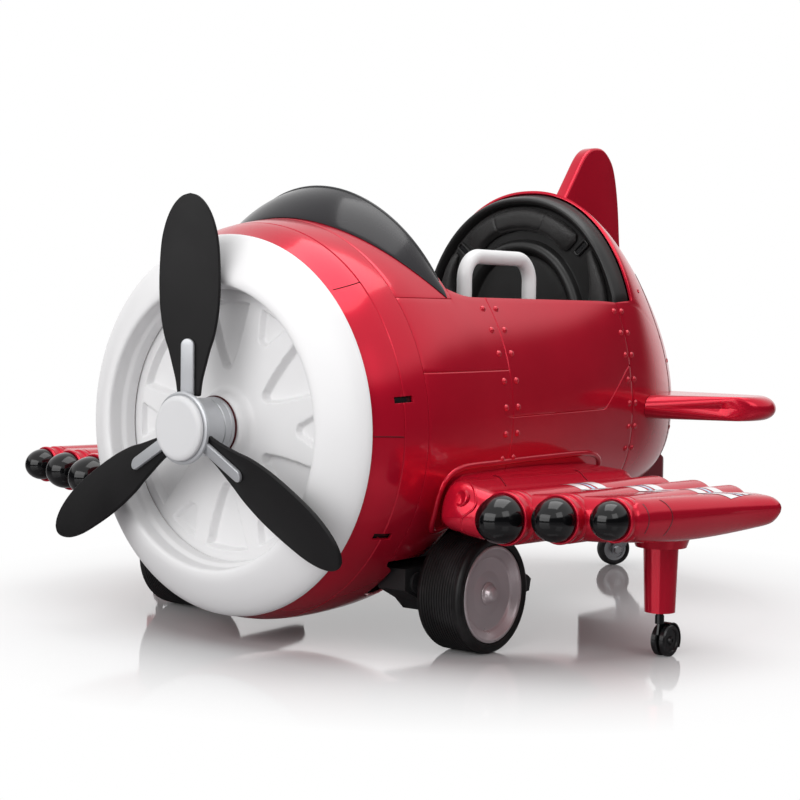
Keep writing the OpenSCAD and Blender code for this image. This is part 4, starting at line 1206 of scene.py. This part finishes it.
# %% Grid of the wing
INNER_END, FAN = 540, 2000       # last straight column; the fan's columns count from FAN
WING_COLS = spread(-1, -0.2, 3) + [-0.1, 0] + spread(FREE_X, 340, 20)[1:] + \
    spread(340, INNER_END, 40)[1:] + [FAN + 1 - (1 - t) ** 1.9 for t in spread(0, 1, 22)[1:]]
WING_ROWS = [0.5 - 0.5 * cos(pi * t) for t in spread(0, 1, 60)]
print("wing grid:", len(WING_COLS), "columns x", len(WING_ROWS), "rows")

def edge_point(t):
    """Point of the outer edge, by share of its length beyond the inner panels."""
    path = [p for p in WING_EDGE if p[0] >= INNER_END]
    path = [(INNER_END, wing_front(INNER_END))] + path + [(INNER_END, wing_rear(INNER_END))]
    steps = [hypot(b[0] - a[0], b[1] - a[1]) for a, b in zip(path, path[1:])]
    way = t * sum(steps)
    for step, a, b in zip(steps, path, path[1:]):
        if way <= step:
            share = way / max(step, 1e-9)
            return mix(a[0], b[0], share), mix(a[1], b[1], share)
        way -= step
    return path[-1]

def root_spot(t, side):
    """Point where the wing enters the body's side."""
    y = mix(152, 584, t)
    h = wing_h(ROOT_X, mix(wing_front(ROOT_X), wing_rear(ROOT_X), t), side) if 0 < t < 1 else 0
    if side > 0:
        h += 6 * max(0, sin(pi * t)) ** 0.3
    z = part_z(ROOT_X, y) + side * (0.05 + h)
    return (skin_x(y, z, 0.6), y, z)

def panel_spot(x, t, side):
    y = mix(wing_front(x), wing_rear(x), t)
    h = wing_h(x, y, side) if 0 < t < 1 else 0
    return (x, y, part_z(x, y) + side * (0.05 + h))

def wing_place(x, t, side):
    """Columns below 0 lead out of the body; those beyond FAN spread to the edge."""
    if x > FAN:
        ex, ey = edge_point(t)
        y = mix(mix(wing_front(INNER_END), wing_rear(INNER_END), t), ey, x - FAN)
        x = mix(INNER_END, ex, x - FAN)
        return (x, y, part_z(x, y) + side * (0.05 + wing_h(x, y, side)))
    if x > 0:
        return panel_spot(x, t, side)
    return tuple(mix(p, q, x + 1) for p, q in zip(root_spot(t, side), panel_spot(FREE_X, t, side)))

def wing_shell(name, side):
    shell = wrapped(name, WING_COLS, WING_ROWS, lambda x, t: wing_place(x, t, side))
    face_out(shell, lambda p: Vector((p.x, p.y, 0.2 - 0.01 * side)))
    walled(shell, 2, even=False)
    shaded(shell, 50)
    return shell

# %% [markdown]
# The engine bodies are turned, with collars in front and a domed rear end.
# What lies above the parting line is then raised a little towards the rear.

# %% Engine bodies and caps
def pod_shell(k):
    x, front, r, rear, rise, cap_r = PODS[k]
    profile = [(cap_r - 3, 2), (cap_r + 0.6, 0.4), (cap_r + 1.6, 0), (r - 0.6, 0.4), (r, 1.6),
               (r, 6), (r - 2.4, 8), (r - 2.6, 17), (r, 18.6), (r, 27), (r - 1.3, 27.8),
               (r - 1.3, 29.4), (r, 30.2)]
    long = rear - front
    profile = rounded(profile, 0.6, n=2) + [(r, y) for y in spread(36, long - r, 12)] + \
        [(r * cos(a), long - r + r * sin(a)) for a in spread(0, pi / 2, 16)[1:]]
    pod = turned(f"pod_{k}", profile, at(x, front, part_z(x)), steps=96)
    for v in pod.data.vertices:
        y = behind_ring(v.co.y)
        above = v.co.z - part_z(x) / 1000
        if above > 0:
            v.co.z += above * rise * clamp((y - front) / long)
        v.co.z -= 0.02 * (y - 110) / 1000
    return pod

def pod_cap(k):
    x, front, r, rear, rise, cap_r = PODS[k]
    long = 1.37 * cap_r
    profile = [(0, 1.5), (cap_r - 2, 1.5), (cap_r - 0.4, 0.6), (cap_r, -0.6), (cap_r, -3)] + \
        [(cap_r * cos(a), -3 - (long - 3) * sin(a)) for a in spread(0, pi / 2, 28)[1:]]
    return turned(f"pod_cap_{k}", profile, at(x, front - 0.3, part_z(x)), steps=96)

upper = joined([wing_shell("wing_top", 1)] + [pod_shell(k) for k in range(3)], "wing_top_left")
lower = wing_shell("wing_bottom_left", -1)
caps = joined([pod_cap(k) for k in range(3)], "engine_caps_left")
for piece, finish, node in ((upper, red_gloss, "wing_upper"), (lower, red_gloss, "wing_lower"),
                            (caps, black_gloss, "pod_caps")):
    fit_pair(piece, finish, node=node)

# %% [markdown]
# ## Wing stripes
# The wings carry plain stripes: thin stickers, made as small grids that lie a
# third of a millimetre over the wing's top.

# %% Wing stripes
def wing_top(x, y):
    z = part_z(x, y) + 0.25 + wing_h(x, y, 1)
    for px, front, r, rear, rise, cap_r in PODS:
        if abs(x - px) < r and front < y < rear:
            e = max(0, (y - (rear - r)) / r)
            s = r * r - (x - px) ** 2 - r * r * e * e
            if s > 0:
                z = max(z, part_z(px, y) + sqrt(s) * (1 + rise * (y - front) / (rear - front)))
    return z

def stripe(name, x0, x1, y0, wide, slope):
    def place(u, v):
        x = mix(x0, x1, u)
        y = y0 + slope * (x - x0) + wide * v
        return (x, y, wing_top(x, y) + 0.35)
    sticker = wrapped(name, spread(0, 1, 150), spread(0, 1, 10), place)
    face_out(sticker, lambda p: Vector((p.x, p.y, 0)))
    only(sticker)
    bpy.ops.object.shade_smooth()
    return sticker

for number, (y0, wide, paint) in enumerate([(228, 20, sticker_white), (254, 7, sticker_blue),
                                            (267, 20, sticker_white)]):
    fit_pair(stripe(f"wing_stripe_{number}_left", 352, 572, y0, wide, 0.42), paint)

# %% [markdown]
# ## Fin and stabilizers
# The fin is an outline pulled to 24 mm with broad soft edges. Its foot follows
# the tail's back, so that no gap shows under it.

# %% Fin
FIN = flowing([(764, 615), (777, 632), (791, 650), (815, 681), (839, 711), (858, 725), (879, 730),
               (900, 729), (919, 718), (934, 700), (945, 668), (953, 625), (958, 578), (964, 520),
               (968, 462)], 3)
FIN += [(y, top_z(y) + 0.2) for y in spread(966, 780, 14)]
fin = slab("tail_fin", [at(-12, y, z) for y, z in FIN], Vector((0.024, 0, 0)))
softened(fin, 5, 5, 60)
fit(fin, red_gloss, stands_for=["fin"])

# %% [markdown]
# A stabilizer is two grids, one over and one under its middle plane, that
# meet at a rounded edge and at the body's side.

# %% Stabilizers
def stabilizer_place(v, t, side):
    v = sin(v * pi / 2)
    y0 = 826 + 102 * v
    y = mix(y0, 836 + 50 * v, t)
    ev, et = max(0, (abs(v) - 0.76) / 0.24), max(0, (t - 0.86) / 0.14)
    z = 301 + side * 19 * sqrt(max(0, 1 - ev * ev - et * et))
    return (mix(skin_x(y0, z, 0.4), 320 + 50 * sqrt(max(0, 1 - v * v)), t), y, z)

outwards = [1 - (1 - t) ** 2 for t in spread(0, 1, 36)]
halves = [wrapped(f"stabilizer_{side}", spread(-1, 1, 64), outwards,
                  lambda v, t, s=side: stabilizer_place(v, t, s)) for side in (1, -1)]
plane = joined(halves, "stabilizer_left")
outward(plane)
shaded(plane, 50)
fit_pair(plane, red_gloss, node="stabilizer")

# %% [markdown]
# ## Rivets
# A rivet is a small domed head, turned once and copied along the two upright
# seams, each copy turned to stand on the skin.

# %% Rivets
FRONT_ROWS = (451, 422, 390, 353, 317, 281, 247)
REAR_ROWS = (451, 418, 384, 346, 309, 272, 237)
spots = [(y, z) for z in FRONT_ROWS for y in (279, 313)]
spots += [(seam_y(z) + s, z) for z in REAR_ROWS for s in (-13, 9)]
RIVET = [(0, 3.2), (1.5, 3.05), (2.8, 2.5), (3.8, 1.6), (4.4, 0.7), (4.8, 0.2), (4.9, -0.6)]

def standing(name, profile, y, z, lean=0.0, steps=14):
    """A turned head on the skin; lean tips its axis backwards."""
    a = radians(skin_a(y, z))
    return turned(name, profile, at(*skin(y, skin_a(y, z))), (cos(a), lean, sin(a)), steps)

heads = [standing(f"rivet_{i}", RIVET, y, z) for i, (y, z) in enumerate(spots)]
fit_pair(joined(heads, "rivets_left"), rivet_paint, node="rivets")

# %% [markdown]
# ## Small mouldings on the shells
# A round bead frames the wing root, thin joints cross the tail and the wing,
# and a ring is embossed on the wing's inner block. Beads and joints are bars
# led along points that lie on the skin; a joint is a nearly black bar of
# painted shade, for the shade in the gap between two mouldings, and sits so
# deep that it reads as that gap.

# %% Bead and joints of the body
def on_body(points, n=6, sink=0.0):
    """A smooth run of (distance, height) points laid on the fuselage skin."""
    run = flowing([(y, z, 0) for y, z in points], n)
    return [at(skin_x(y, z) - sink, y, z) for y, z, _ in run]

ROOT_BEAD = [
    (180, 163), (160, 159.5), (147, 161), (138.5, 171), (134, 186), (130.5, 203), (131.5, 217),
    (136, 228), (146, 236), (160, 241), (191, 244), (276, 243), (401, 241.5), (526, 239.5),
    (570, 236), (596, 228), (610, 215), (614, 200), (608, 184)]
JOINTS = [[(7.4, 470.6), (28, 476), (48.4, 481.5)], [(4, 290.6), (24, 290), (46, 289)],
          [(778, 512), (798, 452.7), (836, 390), (865, 328), (888, 262), (905, 202)]]
fit_pair(tube("wing_root_bead_left", on_body(ROOT_BEAD, sink=0.4), 4.4, 16), red_gloss)
# The joints are painted shade: near-black bars for the shade in the gaps.
joints = [tube(f"joint_{i}", on_body(line, sink=0.15), 0.75, 8) for i, line in enumerate(JOINTS)]
fit_pair(joined(joints, "shell_joints_left"), gap_shade)

# %% [markdown]
# Two creases wrap the wing's outer edge, and two cross its inner block. The
# first pair is led over the top, round the edge and under it. Each is a thin
# dark red bar: painted shade for the shade in a shallow groove.

# %% Creases of the wing
def rim_groove(y):
    """A joint that wraps the wing's outer edge where the edge passes y."""
    low, high = 0.0, 0.5
    for _ in range(24):
        half = (low + high) / 2
        low, high = (half, high) if edge_point(half)[1] < y else (low, half)
    over = [at(*wing_place(FAN + c, low, 1)) for c in spread(0.25, 1, 14)]
    return over + [at(*wing_place(FAN + c, low, -1)) for c in spread(1, 0.5, 10)[1:]]

def block_groove(points):
    return [at(x, y, wing_top(x, y)) for x, y, _ in flowing([(*p, 0) for p in points], 8)]

lines = [rim_groove(154), rim_groove(196),
         block_groove([(248, 246), (268, 236), (285, 220), (302, 201.8), (328, 176)]),
         block_groove([(246, 448), (268, 434), (288.1, 409.7), (313, 381.3), (330, 366)])]
creases = joined([tube(f"crease_{i}", line, 0.8, 8) for i, line in enumerate(lines)],
                 "wing_creases_left")
# The creases' dark red is painted shade for the shade in shallow grooves.
fit_pair(creases, red_dark)

# %% [markdown]
# The embossed ring and the screws are turned about an axis that stands on the
# surface. The ring is hollow in the middle and half sunk. A ridge beside it
# is a bar along measured points.

# %% Embossed ring, ridge and screws
ring = turned("block_ring_left", [(0, 0.5), (6.2, 0.5), (7.2, 1.0), (8.2, 2.0), (9.6, 2.2),
                                  (10.8, 1.4), (11.4, -1.5)],
              at(314, 100.5, 212.5), (-0.20, -0.93, 0.31), 40)
fit_pair(ring, red_gloss)

RIDGE = [(300, 133, 230), (313, 121, 228), (327, 110, 222.3), (335.5, 101.5, 209),
         (334, 98.5, 201.5), (328.4, 97.2, 196), (320, 95.9, 189.5), (316.5, 97, 181),
         (316, 100.6, 172.5)]
fit_pair(tube("block_ridge_left", [at(*p) for p in flowing(RIDGE, 6)], 1.5, 12), red_gloss)

SCREW = [(0, -0.8), (1.6, -0.8), (1.9, 0.2), (2.6, 0.9), (3.6, 0.7), (4.2, -0.6)]
screws = [standing(f"screw_{i}", SCREW, y, z, 0.25, 24)
          for i, (y, z) in enumerate([(731.9, 483.7), (899.5, 259.4), (866, 372)])]
fit_pair(joined(screws, "tail_screws_left"), rivet_paint)

# %% [markdown]
# ## Driven wheels
# The tread is ribbed all the way round, so its ribs belong in the turned
# profile. The rim is a satin grey dish with a stepped lip and a domed cap.

# %% Driven wheels
HUB_PORT = at(263.5, 196, 78)

def tyre(name):
    """Ribs are 78 mm from the axle, and the grooves between them 1.4 mm deep."""
    ribs, x = [], -27
    while x <= 26:
        ribs += [(78, x - 1.5), (78, x + 1.1), (76.6, x + 1.5), (76.6, x + 2.3)]
        x += 4.08
    profile = [(62, -29), (66, -33.5), (71.5, -35.5), (75, -34.4), (77.2, -30.8)] + ribs + \
        [(77.6, 29.4), (76.6, 32.0), (74.4, 34.4), (71.5, 35.4), (66, 34.4), (64, 31.6), (62, 26)]
    return turned(name, rounded(profile, 0.5, n=2), HUB_PORT, (1, 0, 0), 144)

def wheel_rim(name):
    profile = [(6.2, -33), (24, -33), (24, -6), (57, -2), (57, -29), (61.8, -29), (61.8, 25.6),
               (64.2, 31.8), (63.4, 34.2), (60, 34.4), (57, 32), (50, 27.8), (48, 25.4), (46.2, 25),
               (30, 23.6), (20, 24.4), (6.2, 24.4)]
    return turned(name, rounded(profile, 1.4, n=4), HUB_PORT, (1, 0, 0), 144)

def wheel_cap(name):
    profile = [(0, 24.9), (14.6, 24.9), (15.4, 25.5), (15, 26.6), (12.6, 27.6), (11.4, 29),
               (10.4, 31.6), (9.2, 34), (7.4, 35.6), (4.4, 36.6), (0, 36.9)]
    return turned(name, rounded(profile, 0.8, n=3), HUB_PORT, (1, 0, 0), 96)

for piece, finish, node in ((tyre("ribbed_tyre_left"), tyre_rubber, "tyre"),
                            (wheel_rim("dished_rim_left"), grey_rim, "rim"),
                            (wheel_cap("wheel_cap_left"), grey_rim, "wheel_cap")):
    fit_pair(piece, finish, "wheel_port", node)

# %% [markdown]
# ## Underside
# The belly closes the fuselage between the side shells. It follows the same
# law, half a millimetre inside the skin, in matt black.

# %% Belly
def belly_place(y, t):
    a = skin_a(y, SILL_Z) - 0.4
    return skin(y, mix(-180 - a, a, t), -0.5)

belly = wrapped("belly_skin", spread(266, seam_y(0) - 1.6, 44), spread(0, 1, 60), belly_place)
face_out(belly, core)
walled(belly, 4)
softened(belly, 0.8)
fit(belly, black_matt, stands_for=["belly_pan"])

# %% [markdown]
# ## CAD parts that stay
# The working parts are already right in shape: motors, gear cases, casters,
# levers and buttons. They only get their finishes.

# %% Dressing the CAD parts
CAD_FINISH = (
    (black_matt, "chassis_beam dash_panel lever_mounts gearbox_port gearbox_starboard"),
    (black_gloss, "caster_body_port caster_body_starboard"),
    (trim_black, "speed_rocker charge_socket caster_wheels_port caster_wheels_starboard"),
    (white_gloss, "lever_port lever_starboard"), (red_gloss, "wing_leg_port wing_leg_starboard"),
    (red_dark, "tail_keel"), (steel, "prop_motor prop_shaft drive_motors wheel_axle"),
    (zinc, "tail_fork"), (silver_paint, "tail_rim"), (caster_rubber, "tail_tyre"),
    (battery_case, "battery"), (green_gloss, "start_button"), (amber_gloss, "music_button"))
for finish, names in CAD_FINISH:
    for name in names.split():
        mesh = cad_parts[name].data
        mesh.materials.clear()
        mesh.materials.append(finish)
    print(finish.name, "on", names)

# %% [markdown]
# ## Floor, light and camera
# The toy stands on a pale floor in plain soft studio light. The floor fades to
# white away from the toy. The camera sees it pale, but the light that it
# throws back on the toy is weaker, so that the toy's lower sides stay dark.

# %% Floor
bpy.ops.object.select_all(action="DESELECT")
bpy.ops.mesh.primitive_plane_add(size=30, location=(0, 0, 0))
floor = bpy.context.object
floor.name = "floor"
ground, nodes, links = finish_named("floor", "none")
shader = nodes["Principled BSDF"]
shader.inputs["Roughness"].default_value = 0.06
shader.inputs["Specular IOR Level"].default_value = 1.0
glow, blend, where, far, path, seen = (nodes.new("ShaderNode" + kind) for kind in (
    "Emission", "MixShader", "TexCoord", "VectorMath", "LightPath", "Math"))
camera_ray = path.outputs["Is Camera Ray"]
far.operation, seen.operation = "LENGTH", "MULTIPLY"
links.new(where.outputs["Object"], far.inputs[0])
fade = ranged(ground, far.outputs["Value"], 0, 1, 0.48, 0.86)      # metres from the middle
tones = two_tones(ground, camera_ray, (0.26, 0.25, 0.26), (0.80, 0.79, 0.80))
for source, socket in (
        (tones, shader.inputs["Base Color"]), (fade, seen.inputs[0]), (camera_ray, seen.inputs[1]),
        (seen.outputs["Value"], blend.inputs["Fac"]), (shader.outputs["BSDF"], blend.inputs[1]),
        (glow.outputs["Emission"], blend.inputs[2]),
        (blend.outputs["Shader"], nodes["Material Output"].inputs["Surface"])):
    links.new(source, socket)
floor.data.materials.append(ground)
print("floor nodes:", len(ground.node_tree.nodes))

# %% [markdown]
# The world is white for the camera and through clear sheets, and lights
# surfaces more mildly. What the paint reflects is a studio: a white ceiling
# and a white backdrop behind the toy, in a room that is nearly dark.

# %% World
world = bpy.data.worlds.new("studio")
bpy.context.scene.world = world
world.use_nodes = True
nodes, links = world.node_tree.nodes, world.node_tree.links
sky = nodes["Background"]
sky.inputs["Color"].default_value = (1, 1, 1, 1)

def sum_of(kind, *values):
    """One clamped Math node for two values, which are sockets or numbers."""
    node = nodes.new("ShaderNodeMath")
    node.operation, node.use_clamp = kind, True
    for socket, value in zip(node.inputs, values):
        if isinstance(value, (int, float)):
            socket.default_value = value
        else:
            links.new(value, socket)
    return node.outputs["Value"]

way, split = nodes.new("ShaderNodeTexCoord"), nodes.new("ShaderNodeSeparateXYZ")
links.new(way.outputs["Generated"], split.inputs["Vector"])
backdrop = nodes.new("ShaderNodeVectorMath")
backdrop.operation = "DOT_PRODUCT"
links.new(way.outputs["Generated"], backdrop.inputs[0])
backdrop.inputs[1].default_value = (-0.63, 0.78, 0)
ceiling = ranged(world, split.outputs["Z"], 0, 1, 0.26, 0.46, "SMOOTHSTEP")
wall = ranged(world, backdrop.outputs["Value"], 0, 1, 0.55, 0.9, "SMOOTHSTEP")
bright = ranged(world, sum_of("MAXIMUM", ceiling, wall), 0.04, 1.0, 0, 1, "SMOOTHSTEP")
path = nodes.new("ShaderNodeLightPath")
glossy = sum_of("MULTIPLY", path.outputs["Is Glossy Ray"], bright)
straight = sum_of("ADD", path.outputs["Is Camera Ray"], path.outputs["Is Transmission Ray"])
mild = sum_of("MULTIPLY", path.outputs["Is Diffuse Ray"], 0.6)
links.new(sum_of("ADD", sum_of("ADD", glossy, straight), mild), sky.inputs["Strength"])
print("world nodes:", len(nodes))

# %% [markdown]
# Three soft boxes stand around the toy: a large one in front, one overhead
# and a weak one to port. They are broad, so that the highlights on the candy
# paint have no hard corners.

# %% Lamps
def softbox(name, place, aim, size, power):
    lamp = bpy.data.lights.new(name, "AREA")
    lamp.shape, lamp.size, lamp.size_y, lamp.energy = "RECTANGLE", size[0], size[1], power
    piece = bpy.data.objects.new(name, lamp)
    bpy.context.scene.collection.objects.link(piece)
    piece.location = place
    piece.rotation_euler = (Vector(aim) - Vector(place)).to_track_quat("-Z", "Y").to_euler()
    print(name, "lamp:", power, "W over", size, "m")

softbox("key", (0.1, -3.3, 1.35), (0, 0, 0.3), (3.8, 2.2), 72)
softbox("top", (0.4, 0.2, 2.8), (0, 0, 0.4), (2.4, 1.8), 36)
softbox("side", (3.0, -0.8, 1.9), (0, 0.1, 0.3), (1.4, 1.4), 12)

# %% [markdown]
# The camera stands in front, to port and low, and has a long lens. Its frame
# is built from three turns, in degrees.

# %% Camera
EYE = (1.5759, -2.0936, 0.4381)
camera = bpy.data.cameras.new("camera")
camera.lens, camera.sensor_width, camera.clip_end = 76.27, 36, 60
view = bpy.data.objects.new("camera", camera)
bpy.context.scene.collection.objects.link(view)
bpy.context.scene.camera = view
turn, lift, roll = radians(38.8120), radians(2.8082), radians(0.7305)
back = Vector((sin(turn) * cos(lift), -cos(turn) * cos(lift), sin(lift)))
right = Vector((cos(turn), sin(turn), 0))
up = back.cross(right)
right, up = right * cos(roll) + up * sin(roll), up * cos(roll) - right * sin(roll)
view.matrix_world = Matrix([(right[i], up[i], back[i], EYE[i]) for i in range(3)]
                           + [(0, 0, 0, 1)])
bpy.context.scene.view_settings.view_transform = "Standard"
print("camera:", EYE, "lens:", camera.lens)
